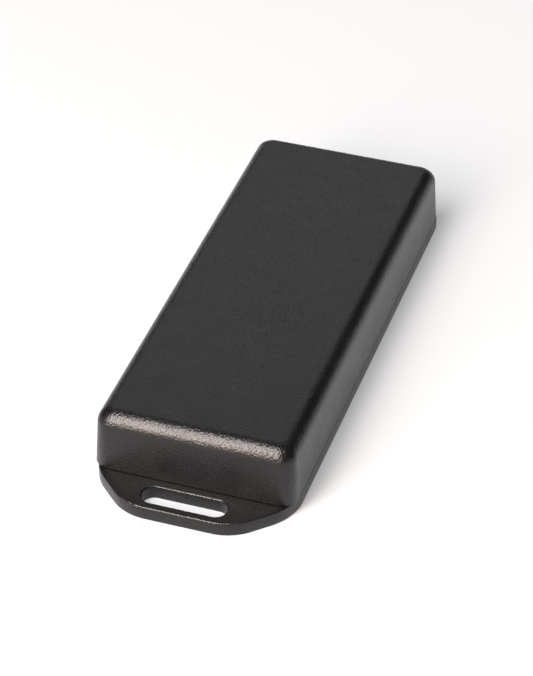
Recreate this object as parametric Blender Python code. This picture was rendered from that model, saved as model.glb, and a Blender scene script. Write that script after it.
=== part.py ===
"""Slim two-shell case of a USB microcontroller programmer, with its circuit board inside.

Metres, +Z up. The origin is on the underside, at the centre of the whole outline.
The strap flange is at the -Y end and the two connectors are at the +Y end.
"""
import math

import bmesh
import bpy

MM = 0.001

# Case
CASE_WIDTH = 35.0 * MM
CASE_LENGTH = 88.5 * MM
CASE_HEIGHT = 13.35 * MM
BASE_THICKNESS = 2.5 * MM
SEAM = 0.25 * MM
WALL = 1.8 * MM
ROOF = 2.0 * MM
DRAFT = math.tan(math.radians(2.9))
EDGE_RADIUS = 2.8 * MM
CORNER_RADIUS = 2.8 * MM
EDGE_STEPS = 5
INNER_CHAMFER = 0.6 * MM
JOIN_DEPTH = 0.5 * MM

# Flange and its strap slot
FLANGE_REACH = 7.15 * MM
FLANGE_FRONT_HALF = 9.3 * MM
FLANGE_FRONT_RADIUS = 8.9 * MM
SHOULDER_START = 0.8 * MM
SHOULDER_RADIUS = 10.0 * MM
BASE_INSET = 0.12 * MM
BASE_FAR_RADIUS = 2.1 * MM
BASE_FOOT_RADIUS = 0.12 * MM
BASE_RIM_RADIUS = 0.25 * MM
SLOT_LENGTH = 14.7 * MM
SLOT_WIDTH = 4.1 * MM
SLOT_DISTANCE = 3.62 * MM

# Ends and levels that follow from the case
NEAR_WALL = FLANGE_REACH - (CASE_LENGTH + FLANGE_REACH) / 2
FAR_WALL = NEAR_WALL + CASE_LENGTH
COVER_BOTTOM = BASE_THICKNESS + SEAM
CEILING = CASE_HEIGHT - ROOF

# Case screws and the bosses that they hold
BOSS_X = 13.2 * MM
BOSS_FROM_WALL = 4.3 * MM
BOSS_RADIUS = 2.7 * MM
CASE_SCREW_RADIUS = 1.1 * MM
CASE_SCREW_HEAD = 2.0 * MM
CASE_SCREW_FOOT = 0.25 * MM
CASE_SCREW_RIM = 0.2 * MM
CASE_SCREW_SINK = 0.9 * MM
CASE_SCREW_POINT = 1.1 * MM
CASE_SCREW_TOP = 9.2 * MM
CASE_SCREW_RECESS = 0.7 * MM
PILOT_GAP = 0.15 * MM
PILOT_SPARE = 0.4 * MM
SINK_GAP = 0.35 * MM
SINK_STRAIGHT = 0.55 * MM
SINK_DEPTH = 1.5 * MM
SHANK_GAP = 0.3 * MM
SCREW_TIP = 0.15 * MM
RECESS_RADIUS = 1.1 * MM
RECESS_ARM = 0.28

# Ribs and sills on the base plate
RIB = 1.2 * MM
RIB_HEIGHT = 1.7 * MM
RIB_GAP = 0.1 * MM + SEAM
RIB_CHAMFER = 0.3 * MM
SIDE_RIB_LENGTH = CASE_LENGTH - 18.0 * MM
NEAR_RIB_LENGTH = 17.0 * MM
SILL_DEPTH = 1.4 * MM
SILL_INSET = 0.3 * MM
HEADER_SILL_DROP = 0.7 * MM

# Circuit board, on posts that stand on the base plate
POST_TOP = BASE_THICKNESS + 1.1 * MM
POST_RADIUS = 2.4 * MM
BOARD_THICKNESS = 1.6 * MM
BOARD_HALF = 13.7 * MM
BOARD_NECK_HALF = 9.9 * MM
BOARD_STEP = 7.6 * MM
BOARD_NEAR_GAP = 3.8 * MM
BOARD_FAR_GAP = 2.3 * MM
BOARD_USB_SIDE = 0.3 * MM
BOARD_BOTTOM = POST_TOP + SEAM
BOARD_TOP = BOARD_BOTTOM + BOARD_THICKNESS
SOLDER_GAP = 0.1 * MM
PART_FOOT = BOARD_TOP + SOLDER_GAP
BOARD_SCREW_PLACES = [
    (0.0, NEAR_WALL + 7.0 * MM),
    (-11.2 * MM, FAR_WALL - 12.5 * MM),
    (11.2 * MM, FAR_WALL - 12.5 * MM),
]
BOARD_SCREW_RADIUS = 0.95 * MM
BOARD_SCREW_LOW = 1.5 * MM
BOARD_SCREW_TAPER = 0.8 * MM
BOARD_SCREW_HEAD = 1.85 * MM
BOARD_SCREW_CROWN = 1.4 * MM
BOARD_SCREW_SIDE = 0.7 * MM
BOARD_SCREW_HEIGHT = 1.2 * MM
BOARD_SCREW_RECESS = 0.95 * MM
POST_BORE_FLOOR = 1.1 * MM
POST_BORE_GAP = 0.2 * MM
SCREW_HOLE = 1.25 * MM
PIN_HOLE = 0.62 * MM

# USB receptacle
USB_X = -5.4 * MM
USB_WIDTH = 7.7 * MM
USB_HEIGHT = 3.9 * MM
USB_DEPTH = 9.2 * MM
USB_FRONT = FAR_WALL - 0.4 * MM
USB_SHEET = 0.4 * MM
USB_STEP_HEIGHT = 1.3 * MM
USB_STEP_WIDTH = 1.0 * MM
USB_TONGUE_FOOT = PART_FOOT + 1.6 * MM
USB_TONGUE_HALF = 2.6 * MM
USB_TONGUE_THICKNESS = 0.8 * MM
USB_TONGUE_BLOCK = 2.6 * MM
USB_TONGUE_SETBACK = 1.4 * MM
TONGUE_GAP = 0.15 * MM
USB_CONTACT_PITCH = 0.8 * MM
USB_CONTACT_SHEET = 0.15 * MM
USB_CONTACT_HALF = 0.15 * MM
USB_CONTACT_SETBACK = 0.3 * MM
USB_CONTACT_HEEL = 0.5 * MM
USB_CONTACT_FOOT = 0.9 * MM

# Target connector: a right-angle header of two rows of three pins
HEADER_X = 5.4 * MM
PITCH = 2.54 * MM
HEADER_DEPTH = 2.5 * MM
HEADER_FRONT = FAR_WALL - 7.2 * MM
PIN_SIZE = 0.64 * MM
PIN_BORE_GAP = 0.3 * MM
PIN_BEND_GAP = 1.2 * MM
PIN_REACH = 6.0 * MM
PIN_TAIL = 0.9 * MM
HEADER_MOUTH_WIDTH = 3 * PITCH + 1.2 * MM
HEADER_MOUTH_TOP = CEILING - 0.15 * MM
HEADER_SILL_WIDTH = 3 * PITCH + 0.6 * MM

# Reset button
BUTTON_PLACE = (0.0, NEAR_WALL + 15.5 * MM)
BUTTON_BODY = 6.0 * MM
BUTTON_HEIGHT = 2.4 * MM
BUTTON_WELL = 2.15 * MM
BUTTON_FLOOR = 0.7 * MM
BUTTON_TRAVEL = 0.25 * MM
DOME_SHEET = 0.12 * MM
DOME_RIM = 1.8 * MM
DOME_SHOULDER = 1.1 * MM
DOME_MIDDLE = 0.2 * MM
DOME_CROWN = 0.35 * MM
DOME_SHOULDER_RISE = 0.7 * DOME_CROWN
LID_SHEET = 0.3 * MM
LID_INSET = 0.1 * MM
PLUNGER_GAP = 0.2 * MM
PLUNGER_RADIUS = 1.5 * MM
PLUNGER_HEIGHT = 2.7 * MM
PLUNGER_EDGE = 0.2 * MM

# Parts on the board
CHIP_CHAMFER = 0.12
CRYSTAL_PLACE = (-9.6, 46.0)
CRYSTAL_HALF_WIDTH = 2.3 * MM
CRYSTAL_HALF_LENGTH = 5.5 * MM
CRYSTAL_LOW = 0.9 * MM
CRYSTAL_HIGH = 3.9 * MM
CRYSTAL_BASE_WIDTH = 5.0 * MM
CRYSTAL_BASE_LENGTH = 11.4 * MM
CRYSTAL_BASE_HEIGHT = 0.6 * MM
TINY = 0.01 * MM

BLACK_ABS = ((0.021, 0.020, 0.020), 0.45, 0.0)
BLACK_NYLON = ((0.012, 0.012, 0.013), 0.5, 0.0)
EPOXY = ((0.018, 0.018, 0.020), 0.4, 0.0)
SOLDER_MASK = ((0.01, 0.09, 0.04), 0.35, 0.0)
ZINC = ((0.62, 0.61, 0.58), 0.32, 1.0)
TINNED = ((0.72, 0.71, 0.68), 0.28, 1.0)
GOLD = ((0.83, 0.62, 0.25), 0.25, 1.0)
CERAMIC = ((0.42, 0.30, 0.19), 0.5, 0.0)
TANTALUM = ((0.68, 0.42, 0.06), 0.45, 0.0)
CLEAR_LENS = ((0.75, 0.80, 0.70), 0.2, 0.0)
GREY_PTC = ((0.05, 0.16, 0.08), 0.5, 0.0)


# ---------------------------------------------------------------- outlines and solids
def rounded(corners, steps=5):
    """Points along an outline of (x, y, radius) corners, each round corner in the given steps."""
    points = []
    for index, (x, y, radius) in enumerate(corners):
        before, after = corners[index - 1], corners[(index + 1) % len(corners)]
        if radius == 0:
            points.append((x, y))
            continue
        back = math.atan2(before[1] - y, before[0] - x)
        ahead = math.atan2(after[1] - y, after[0] - x)
        half = ((ahead - back + math.pi) % math.tau - math.pi) / 2
        middle = back + half
        centre = (x + radius / abs(math.sin(half)) * math.cos(middle),
                  y + radius / abs(math.sin(half)) * math.sin(middle))
        sweep = math.copysign(math.pi - 2 * abs(half), -half)
        start = middle + math.pi - sweep / 2
        for step in range(steps + 1):
            angle = start + sweep * step / steps
            points.append((centre[0] + radius * math.cos(angle), centre[1] + radius * math.sin(angle)))
    return points


def rectangle(half_width, low, high, radius=0.0):
    """Corners of a rectangle that is centred across X and runs from low to high."""
    return [(-half_width, low, radius), (half_width, low, radius),
            (half_width, high, radius), (-half_width, high, radius)]


def ellipse(radius, segments):
    """Points around a circle."""
    turns = [math.tau * step / segments for step in range(segments)]
    return [(radius * math.cos(turn), radius * math.sin(turn)) for turn in turns]


def loft(rings, ring_closed=False):
    """Solid through rings of equal point counts, capped at both ends or joined back to its start."""
    count = len(rings[0])
    points = [point for ring in rings for point in ring]
    faces = []
    for lower in range(len(rings) if ring_closed else len(rings) - 1):
        first, second = lower * count, (lower + 1) % len(rings) * count
        for step in range(count):
            following = (step + 1) % count
            faces.append((first + step, first + following, second + following, second + step))
    if not ring_closed:
        faces.append(tuple(range(count))[::-1])
        faces.append(tuple(range(len(points) - count, len(points))))
    return points, faces


def prism(outline, low, high):
    """Outline in X and Y, drawn upwards from low to high."""
    return loft([[(x, y, z) for x, y in outline] for z in (low, high)])


def side_prism(outline, half_width):
    """Outline in Y and Z, drawn across X."""
    return loft([[(x, y, z) for y, z in outline] for x in (-half_width, half_width)])


def block(width, depth, low, high, chamfer=0.0):
    """Upright block centred across X and Y, with its top edges chamfered if asked."""
    rings = [(0.0, low), (0.0, high - chamfer), (chamfer, high)] if chamfer else [(0.0, low), (0.0, high)]
    return loft([[(x, y, z) for x, y, _ in rectangle(width / 2 - inset, inset - depth / 2, depth / 2 - inset)]
                 for inset, z in rings])


def turned(profile, segments=16):
    """Solid of revolution about Z through (radius, z) rings."""
    return loft([[(x, y, z) for x, y in ellipse(radius, segments)] for radius, z in profile])


def moved(solid, x=0.0, y=0.0, z=0.0):
    """Copy of a solid, shifted."""
    return [(px + x, py + y, pz + z) for px, py, pz in solid[0]], solid[1]


def together(solids):
    """Several solids in one mesh, for a cutter or an addition."""
    points, faces = [], []
    for solid in solids:
        faces += [tuple(index + len(points) for index in face) for face in solid[1]]
        points += solid[0]
    return points, faces


# ---------------------------------------------------------------- objects
def material(name, look):
    """Principled material from a colour, a roughness and a metallic value."""
    made = bpy.data.materials.new(name)
    made.use_nodes = True
    shader = made.node_tree.nodes["Principled BSDF"]
    shader.inputs["Base Color"].default_value = (*look[0], 1.0)
    shader.inputs["Roughness"].default_value = look[1]
    shader.inputs["Metallic"].default_value = look[2]
    return made


def make(name, solid, look, parent=None, place=(0.0, 0.0, 0.0)):
    """Named object with its own material, its faces pointing out and its round sides shaded smooth."""
    mesh = bpy.data.meshes.new(name)
    mesh.from_pydata(solid[0], [], solid[1])
    tidy = bmesh.new()
    tidy.from_mesh(mesh)
    bmesh.ops.recalc_face_normals(tidy, faces=tidy.faces)
    tidy.to_mesh(mesh)
    tidy.free()
    mesh.shade_smooth()
    mesh.set_sharp_from_angle(angle=math.radians(35))
    piece = bpy.data.objects.new(name, mesh)
    bpy.context.collection.objects.link(piece)
    piece.data.materials.append(material(name, look))
    piece.parent = parent
    piece.location = place
    return piece


def shape_with(piece, name, solid, operation):
    """Cut the piece with a solid, or join the solid to it, by a live Boolean."""
    tool = make(name, solid, BLACK_NYLON)
    tool.hide_render = True
    tool.display_type = "WIRE"
    modifier = piece.modifiers.new(name, "BOOLEAN")
    modifier.operation = operation
    modifier.object = tool
    modifier.solver = "EXACT"


def group(name):
    """Empty that a body's pieces are parented to."""
    made = bpy.data.objects.new(name, None)
    bpy.context.collection.objects.link(made)
    return made


# ---------------------------------------------------------------- case
def boss_places():
    """Centres of the four case screws."""
    return [(side * BOSS_X, y) for y in (NEAR_WALL + BOSS_FROM_WALL, FAR_WALL - BOSS_FROM_WALL)
            for side in (-1, 1)]


def cover_ring(z, inset):
    """Outline of the cover's wall at one height; its corners tighten as the wall leans in."""
    corners = rectangle(CASE_WIDTH / 2 - inset, NEAR_WALL + inset, FAR_WALL - inset,
                        CORNER_RADIUS - inset / 2)
    return [(x, y, z) for x, y in rounded(corners, 6)]


def cover(parent):
    """Upper shell: leaning walls, rolled top edge, four screw bosses and two connector mouths."""
    shoulder = CASE_HEIGHT - EDGE_RADIUS
    lean = (shoulder - COVER_BOTTOM) * DRAFT
    rings = []
    for step in range(EDGE_STEPS + 1):
        angle = math.pi / 2 * (1 - step / EDGE_STEPS)
        rings.append(cover_ring(shoulder + EDGE_RADIUS * math.sin(angle),
                                lean + EDGE_RADIUS * (1 - math.cos(angle))))
    rings.append(cover_ring(COVER_BOTTOM, 0.0))
    rings.append(cover_ring(COVER_BOTTOM, WALL))
    rings.append(cover_ring(CEILING - INNER_CHAMFER, WALL + lean))
    rings.append(cover_ring(CEILING, WALL + lean + INNER_CHAMFER))
    shell = make("cover", loft(rings), BLACK_ABS, parent)

    into_roof = CEILING + JOIN_DEPTH
    bosses = [moved(turned([(BOSS_RADIUS, COVER_BOTTOM), (BOSS_RADIUS, into_roof)], 24), x, y)
              for x, y in boss_places()]
    shape_with(shell, "cover_bosses", together(bosses), "UNION")

    pilot = CASE_SCREW_RADIUS + PILOT_GAP
    hole = turned([(pilot, 0.0), (pilot, CASE_SCREW_TOP + PILOT_SPARE)], 12)
    holes = [moved(hole, x, y) for x, y in boss_places()]
    mouths = [connector_mouth(USB_X, USB_WIDTH + 2 * SEAM, PART_FOOT + USB_HEIGHT + SEAM),
              connector_mouth(HEADER_X, HEADER_MOUTH_WIDTH, HEADER_MOUTH_TOP)]
    shape_with(shell, "cover_openings", together(holes + mouths), "DIFFERENCE")


def connector_mouth(x, width, top):
    """Cutter for a mouth in the far wall, open at the wall's foot so that the cover lifts off."""
    through = 2 * WALL
    return moved(block(width, 2 * through, 0.0, top), x, FAR_WALL)


def base_corners(inset):
    """Corners of the base plate and its flange, with every side moved in by the inset."""
    half = CASE_WIDTH / 2 - BASE_INSET - inset
    side = CASE_WIDTH / 2 - BASE_INSET - FLANGE_FRONT_HALF
    rise = SHOULDER_START + FLANGE_REACH
    slant = math.hypot(side, rise)
    front = NEAR_WALL - FLANGE_REACH + inset
    front_half = FLANGE_FRONT_HALF - inset * (slant - side) / rise
    shoulder = NEAR_WALL + SHOULDER_START + inset * (slant - rise) / side
    far = FAR_WALL - BASE_INSET - inset
    right = [(front_half, front, FLANGE_FRONT_RADIUS - inset), (half, shoulder, SHOULDER_RADIUS - inset),
             (half, far, BASE_FAR_RADIUS - inset)]
    left = [(-x, y, radius) for x, y, radius in right[::-1]]
    return right + left


def base_ring(z, inset):
    """Outline of the base plate at one height."""
    return [(x, y, z) for x, y in rounded(base_corners(inset), 6)]


def slot_cutter():
    """Round-ended strap slot through the flange."""
    low = NEAR_WALL - SLOT_DISTANCE - SLOT_WIDTH / 2
    corners = rectangle(SLOT_LENGTH / 2, low, low + SLOT_WIDTH, SLOT_WIDTH / 2 - TINY)
    return prism(rounded(corners, 7), -MM, BASE_THICKNESS + MM)


def base_additions():
    """Locating ribs, board posts and connector sills, all rooted in the base plate."""
    root = BASE_THICKNESS - JOIN_DEPTH
    rib_top = BASE_THICKNESS + RIB_HEIGHT
    rib_inset = WALL + RIB_GAP + RIB / 2
    side_rib = block(RIB, SIDE_RIB_LENGTH, root, rib_top, RIB_CHAMFER)
    additions = [moved(side_rib, side * (CASE_WIDTH / 2 - rib_inset), (NEAR_WALL + FAR_WALL) / 2)
                 for side in (-1, 1)]
    near_rib = block(NEAR_RIB_LENGTH, RIB, root, rib_top, RIB_CHAMFER)
    additions.append(moved(near_rib, 0.0, NEAR_WALL + rib_inset))
    post = turned([(POST_RADIUS, root), (POST_RADIUS, POST_TOP)], 20)
    additions += [moved(post, x, y) for x, y in BOARD_SCREW_PLACES]
    sill_y = FAR_WALL - SILL_INSET - SILL_DEPTH / 2
    usb_sill = block(USB_WIDTH, SILL_DEPTH, root, PART_FOOT - SEAM)
    header_sill = block(HEADER_SILL_WIDTH, SILL_DEPTH, root, PART_FOOT - HEADER_SILL_DROP)
    return additions + [moved(usb_sill, USB_X, sill_y), moved(header_sill, HEADER_X, sill_y)]


def base_holes():
    """Countersunk screw holes, the posts' blind bores and the strap slot."""
    head, shank = CASE_SCREW_HEAD + SINK_GAP, CASE_SCREW_RADIUS + SHANK_GAP
    sink = [(head, -MM), (head, SINK_STRAIGHT), (shank, SINK_DEPTH), (shank, BASE_THICKNESS + MM)]
    bore = BOARD_SCREW_RADIUS + POST_BORE_GAP
    post_bore = turned([(bore, POST_BORE_FLOOR), (bore, POST_TOP + MM)], 12)
    holes = [moved(turned(sink, 20), x, y) for x, y in boss_places()]
    holes += [moved(post_bore, x, y) for x, y in BOARD_SCREW_PLACES]
    return holes + [slot_cutter()]


def base_plate(parent):
    """Flat base with the slotted flange; its foot edge is nearly sharp and its rim is rounded."""
    foot, rim = BASE_FOOT_RADIUS, BASE_RIM_RADIUS
    midway = 1 - math.cos(math.radians(45))
    rings = [base_ring(0.0, foot), base_ring(foot * midway, foot * midway), base_ring(foot, 0.0),
             base_ring(BASE_THICKNESS - rim, 0.0), base_ring(BASE_THICKNESS - rim * midway, rim * midway),
             base_ring(BASE_THICKNESS, rim)]
    plate = make("base_plate", loft(rings), BLACK_ABS, parent)
    shape_with(plate, "base_ribs_and_posts", together(base_additions()), "UNION")
    shape_with(plate, "base_holes", together(base_holes()), "DIFFERENCE")


def cross_recess(radius, low, high):
    """Cross-shaped driver recess, as one twelve-sided prism."""
    arm = radius * RECESS_ARM
    quarter = [(radius, -arm), (radius, arm), (arm, arm)]
    outline = []
    for turn in range(4):
        cosine, sine = round(math.cos(turn * math.pi / 2)), round(math.sin(turn * math.pi / 2))
        outline += [(x * cosine - y * sine, x * sine + y * cosine) for x, y in quarter]
    return prism(outline, low, high)


def case_screws(parent):
    """Countersunk screws, put in from below."""
    shank, head = CASE_SCREW_RADIUS, CASE_SCREW_HEAD
    rim = CASE_SCREW_FOOT + CASE_SCREW_RIM
    profile = [(head, CASE_SCREW_FOOT), (head, rim), (shank, rim + CASE_SCREW_SINK),
               (shank, CASE_SCREW_TOP - CASE_SCREW_POINT), (SCREW_TIP, CASE_SCREW_TOP)]
    for number, (x, y) in enumerate(boss_places(), 1):
        screw = make(f"case_screw_{number}", turned(profile), ZINC, parent, (x, y, 0.0))
        recess = moved(cross_recess(RECESS_RADIUS, 0.0, CASE_SCREW_FOOT + CASE_SCREW_RECESS), x, y)
        shape_with(screw, f"case_screw_recess_{number}", recess, "DIFFERENCE")


def board_screws(parent):
    """Pan-head screws that hold the board down on its posts."""
    shank, head, foot = BOARD_SCREW_RADIUS, BOARD_SCREW_HEAD, PART_FOOT
    profile = [(SCREW_TIP, BOARD_SCREW_LOW), (shank, BOARD_SCREW_LOW + BOARD_SCREW_TAPER), (shank, foot),
               (head, foot), (head, foot + BOARD_SCREW_SIDE), (BOARD_SCREW_CROWN, foot + BOARD_SCREW_HEIGHT)]
    for number, (x, y) in enumerate(BOARD_SCREW_PLACES, 1):
        screw = make(f"board_screw_{number}", turned(profile), ZINC, parent, (x, y, 0.0))
        recess = moved(cross_recess(BOARD_SCREW_RECESS, foot + BOARD_SCREW_HEIGHT / 2, foot + 2 * MM), x, y)
        shape_with(screw, f"board_screw_recess_{number}", recess, "DIFFERENCE")


# ---------------------------------------------------------------- board and connectors
def pin_places():
    """X, the pin's height and the Y of its bend, for every pin of the target connector."""
    back = HEADER_FRONT - HEADER_DEPTH
    return [(HEADER_X + column * PITCH, PART_FOOT + (row + 0.5) * PITCH, back - PIN_BEND_GAP - row * PITCH)
            for row in (0, 1) for column in (-1, 0, 1)]


def circuit_board(parent):
    """Glass-epoxy board, necked in at the bosses and cut back under the target connector's pins."""
    near, near_step = NEAR_WALL + BOARD_NEAR_GAP, NEAR_WALL + BOARD_STEP
    far, far_step = FAR_WALL - BOARD_FAR_GAP, FAR_WALL - BOARD_STEP
    usb_side = (USB_X + HEADER_X) / 2 + BOARD_USB_SIDE
    outline = [(-BOARD_NECK_HALF, near), (BOARD_NECK_HALF, near), (BOARD_NECK_HALF, near_step),
               (BOARD_HALF, near_step), (BOARD_HALF, far_step), (usb_side, far_step), (usb_side, far),
               (-BOARD_NECK_HALF, far), (-BOARD_NECK_HALF, far_step), (-BOARD_HALF, far_step),
               (-BOARD_HALF, near_step), (-BOARD_NECK_HALF, near_step)]
    board = make("circuit_board", prism(outline, BOARD_BOTTOM, BOARD_TOP), SOLDER_MASK, parent)
    low, high = BOARD_BOTTOM - MM, BOARD_TOP + MM
    screw_hole = turned([(SCREW_HOLE, low), (SCREW_HOLE, high)], 16)
    pin_hole = turned([(PIN_HOLE, low), (PIN_HOLE, high)], 8)
    holes = [moved(screw_hole, x, y) for x, y in BOARD_SCREW_PLACES]
    holes += [moved(pin_hole, x, y) for x, _, y in pin_places()]
    shape_with(board, "circuit_board_holes", together(holes), "DIFFERENCE")


def usb_profile(inset):
    """Mouth of the receptacle: a wide upper part on a narrower lower part."""
    half, low_half = USB_WIDTH / 2 - inset, USB_WIDTH / 2 - USB_STEP_WIDTH - inset
    slope = math.atan2(USB_STEP_WIDTH, USB_STEP_HEIGHT)
    floor, roof = inset, USB_HEIGHT - inset
    step = USB_STEP_HEIGHT + inset * math.tan((math.pi / 2 - slope) / 2)
    return [(-low_half, floor), (low_half, floor), (half, step), (half, roof), (-half, roof), (-half, step)]


def usb_receptacle(parent):
    """Folded metal shell, moulded tongue and five contacts."""
    back = USB_FRONT - USB_DEPTH
    ends = [(0.0, back), (0.0, USB_FRONT), (USB_SHEET, USB_FRONT), (USB_SHEET, back)]
    rings = [[(x, y, z) for x, z in usb_profile(inset)] for inset, y in ends]
    make("usb_shell", loft(rings, ring_closed=True), TINNED, parent, (USB_X, 0.0, PART_FOOT))

    low = USB_TONGUE_FOOT
    high = PART_FOOT + USB_HEIGHT - USB_SHEET - TONGUE_GAP
    tongue_top, block_front = low + USB_TONGUE_THICKNESS, back + USB_TONGUE_BLOCK
    tip = USB_FRONT - USB_TONGUE_SETBACK
    outline = [(back, low), (tip, low), (tip, tongue_top), (block_front, tongue_top),
               (block_front, high), (back, high)]
    make("usb_tongue", side_prism(outline, USB_TONGUE_HALF), BLACK_NYLON, parent, (USB_X, 0.0, 0.0))

    strip, top = USB_CONTACT_SHEET, low - SOLDER_GAP
    heel, end = back - USB_CONTACT_HEEL, tip - USB_CONTACT_SETBACK
    toe = heel - USB_CONTACT_FOOT
    outline = [(end, top), (heel - strip, top), (heel - strip, PART_FOOT + strip), (toe, PART_FOOT + strip),
               (toe, PART_FOOT), (heel, PART_FOOT), (heel, top - strip), (end, top - strip)]
    for number in range(1, 6):
        x = USB_X + (number - 3) * USB_CONTACT_PITCH
        make(f"usb_contact_{number}", side_prism(outline, USB_CONTACT_HALF), GOLD, parent, (x, 0.0, 0.0))


def target_connector(parent):
    """Moulded block and six bent pins that end inside the cover's wall."""
    back = HEADER_FRONT - HEADER_DEPTH
    middle = (HEADER_FRONT + back) / 2
    body = block(3 * PITCH, HEADER_DEPTH, 0.0, 2 * PITCH)
    housing = make("target_header_block", body, BLACK_NYLON, parent, (HEADER_X, middle, PART_FOOT))
    bore = PIN_SIZE + PIN_BORE_GAP
    holes = [moved(block(bore, 2 * HEADER_DEPTH, z - bore / 2, z + bore / 2), x, middle)
             for x, z, _ in pin_places()]
    shape_with(housing, "target_header_holes", together(holes), "DIFFERENCE")

    half, tip_half = PIN_SIZE / 2, PIN_SIZE / 4
    tip, foot = HEADER_FRONT + PIN_REACH, BOARD_BOTTOM - PIN_TAIL
    for number, (x, z, bend) in enumerate(pin_places(), 1):
        outline = [(tip, z - tip_half), (tip, z + tip_half), (tip - half, z + half), (bend, z + half),
                   (bend - half, z), (bend - half, foot), (bend + half, foot), (bend + half, z - half),
                   (tip - half, z - half)]
        make(f"target_pin_{number}", side_prism(outline, half), GOLD, parent, (x, 0.0, 0.0))


# ---------------------------------------------------------------- parts on the board
def board_part(name, x, y, solid, look, parent):
    """Piece whose foot stands on the board; x and y are in millimetres, y from the near wall."""
    return make(name, solid, look, parent, (x * MM, NEAR_WALL + y * MM, PART_FOOT))


def chip(name, x, y, width, depth, height, look, parent):
    """Moulded or ceramic body with slightly chamfered top edges; its place and size are in millimetres."""
    edge = min(width, depth, height) * CHIP_CHAMFER * MM
    board_part(name, x, y, block(width * MM, depth * MM, 0.0, height * MM, edge), look, parent)


def board_parts(parent):
    """Integrated circuits, passive parts, crystal and lamps."""
    chip("microcontroller", 0.0, 47.0, 7.0, 7.0, 1.1, EPOXY, parent)
    chip("level_shifter_1", 5.4, 62.5, 4.4, 5.0, 1.0, EPOXY, parent)
    chip("level_shifter_2", 9.0, 45.5, 4.4, 5.0, 1.0, EPOXY, parent)
    chip("voltage_regulator", -6.2, 66.5, 6.5, 3.5, 1.6, EPOXY, parent)
    chip("power_switch_transistor", 5.4, 56.2, 2.9, 1.3, 1.0, EPOXY, parent)
    chip("resettable_fuse", -6.4, 72.0, 4.5, 3.2, 1.0, GREY_PTC, parent)
    chip("ferrite_bead", -1.8, 75.5, 1.25, 2.0, 0.9, EPOXY, parent)
    for number, (x, y) in enumerate([(-11.2, 63.0), (-1.2, 66.5)], 1):
        chip(f"tantalum_capacitor_{number}", x, y, 2.8, 3.5, 1.9, TANTALUM, parent)
    for number, (x, y) in enumerate([(-5.6, 40.5), (5.8, 41.5), (0.0, 53.4), (9.0, 62.5)], 1):
        chip(f"ceramic_capacitor_{number}", x, y, 1.25, 2.0, 1.0, CERAMIC, parent)
    for number, x in enumerate([-3.0, 0.0, 3.0, 6.0], 1):
        chip(f"resistor_{number}", x, 34.5, 1.25, 2.0, 0.5, EPOXY, parent)
    for number, x in enumerate([-11.5, 11.5], 1):
        chip(f"status_lamp_{number}", x, 55.5, 1.25, 2.0, 0.8, CLEAR_LENS, parent)
    crystal(parent)


def crystal(parent):
    """Oblong metal can on an insulating base."""
    half_width, half_length = CRYSTAL_HALF_WIDTH, CRYSTAL_HALF_LENGTH
    corners = rectangle(half_width, -half_length, half_length, half_width - TINY)
    can = prism(rounded(corners, 7), CRYSTAL_LOW, CRYSTAL_HIGH)
    foot = block(CRYSTAL_BASE_WIDTH, CRYSTAL_BASE_LENGTH, 0.0, CRYSTAL_BASE_HEIGHT)
    board_part("crystal_can", *CRYSTAL_PLACE, can, TINNED, parent)
    board_part("crystal_base", *CRYSTAL_PLACE, foot, BLACK_NYLON, parent)


def reset_button(fixed, moving):
    """Small tactile button: body, snap dome, metal lid and the plunger that travels."""
    place = (*BUTTON_PLACE, PART_FOOT)
    body = block(BUTTON_BODY, BUTTON_BODY, 0.0, BUTTON_HEIGHT)
    well = turned([(BUTTON_WELL, BUTTON_FLOOR), (BUTTON_WELL, BUTTON_HEIGHT + MM)], 20)
    body = make("button_body", body, BLACK_NYLON, fixed, place)
    shape_with(body, "button_well", moved(well, *place), "DIFFERENCE")

    low = BUTTON_FLOOR + SOLDER_GAP
    under = [(DOME_MIDDLE, low + DOME_CROWN), (DOME_SHOULDER, low + DOME_SHOULDER_RISE), (DOME_RIM, low)]
    over = [(radius, z + DOME_SHEET) for radius, z in under[::-1]]
    make("button_dome", turned(under + over), TINNED, fixed, place)

    lid_low, lid_width = BUTTON_HEIGHT + SOLDER_GAP, BUTTON_BODY - 2 * LID_INSET
    lid = block(lid_width, lid_width, lid_low, lid_low + LID_SHEET)
    neck = PLUNGER_RADIUS
    hole = turned([(neck + PLUNGER_GAP, 0.0), (neck + PLUNGER_GAP, 2 * BUTTON_HEIGHT)], 20)
    lid = make("button_lid", lid, TINNED, fixed, place)
    shape_with(lid, "button_lid_hole", moved(hole, *place), "DIFFERENCE")

    rest = low + DOME_CROWN + DOME_SHEET + BUTTON_TRAVEL + SOLDER_GAP
    collar, collar_top = BUTTON_WELL - PLUNGER_GAP, BUTTON_HEIGHT - rest
    plunger = [(collar, 0.0), (collar, collar_top), (neck, collar_top),
               (neck, PLUNGER_HEIGHT - PLUNGER_EDGE), (neck - PLUNGER_EDGE, PLUNGER_HEIGHT)]
    make("button_plunger", turned(plunger, 20), BLACK_NYLON, moving, (0.0, 0.0, rest))


def build():
    """Clear the scene and make every piece."""
    for thing in list(bpy.data.objects):
        bpy.data.objects.remove(thing)
    base_group, cover_group, plunger_group = group("base_group"), group("cover_group"), group("plunger_group")
    plunger_group.location = (*BUTTON_PLACE, PART_FOOT)
    base_plate(base_group)
    cover(cover_group)
    case_screws(base_group)
    circuit_board(base_group)
    board_screws(base_group)
    usb_receptacle(base_group)
    target_connector(base_group)
    board_parts(base_group)
    reset_button(base_group, plunger_group)


build()
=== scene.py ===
"""Looks of a slim two-shell USB programmer case: refined shells, board, connectors and studio.

Metres, in the frame's axes: +Z up, the strap flange towards -Y and the connectors towards +Y.
"""
import math

import bmesh
import bpy
from mathutils import Matrix, Vector


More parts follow.
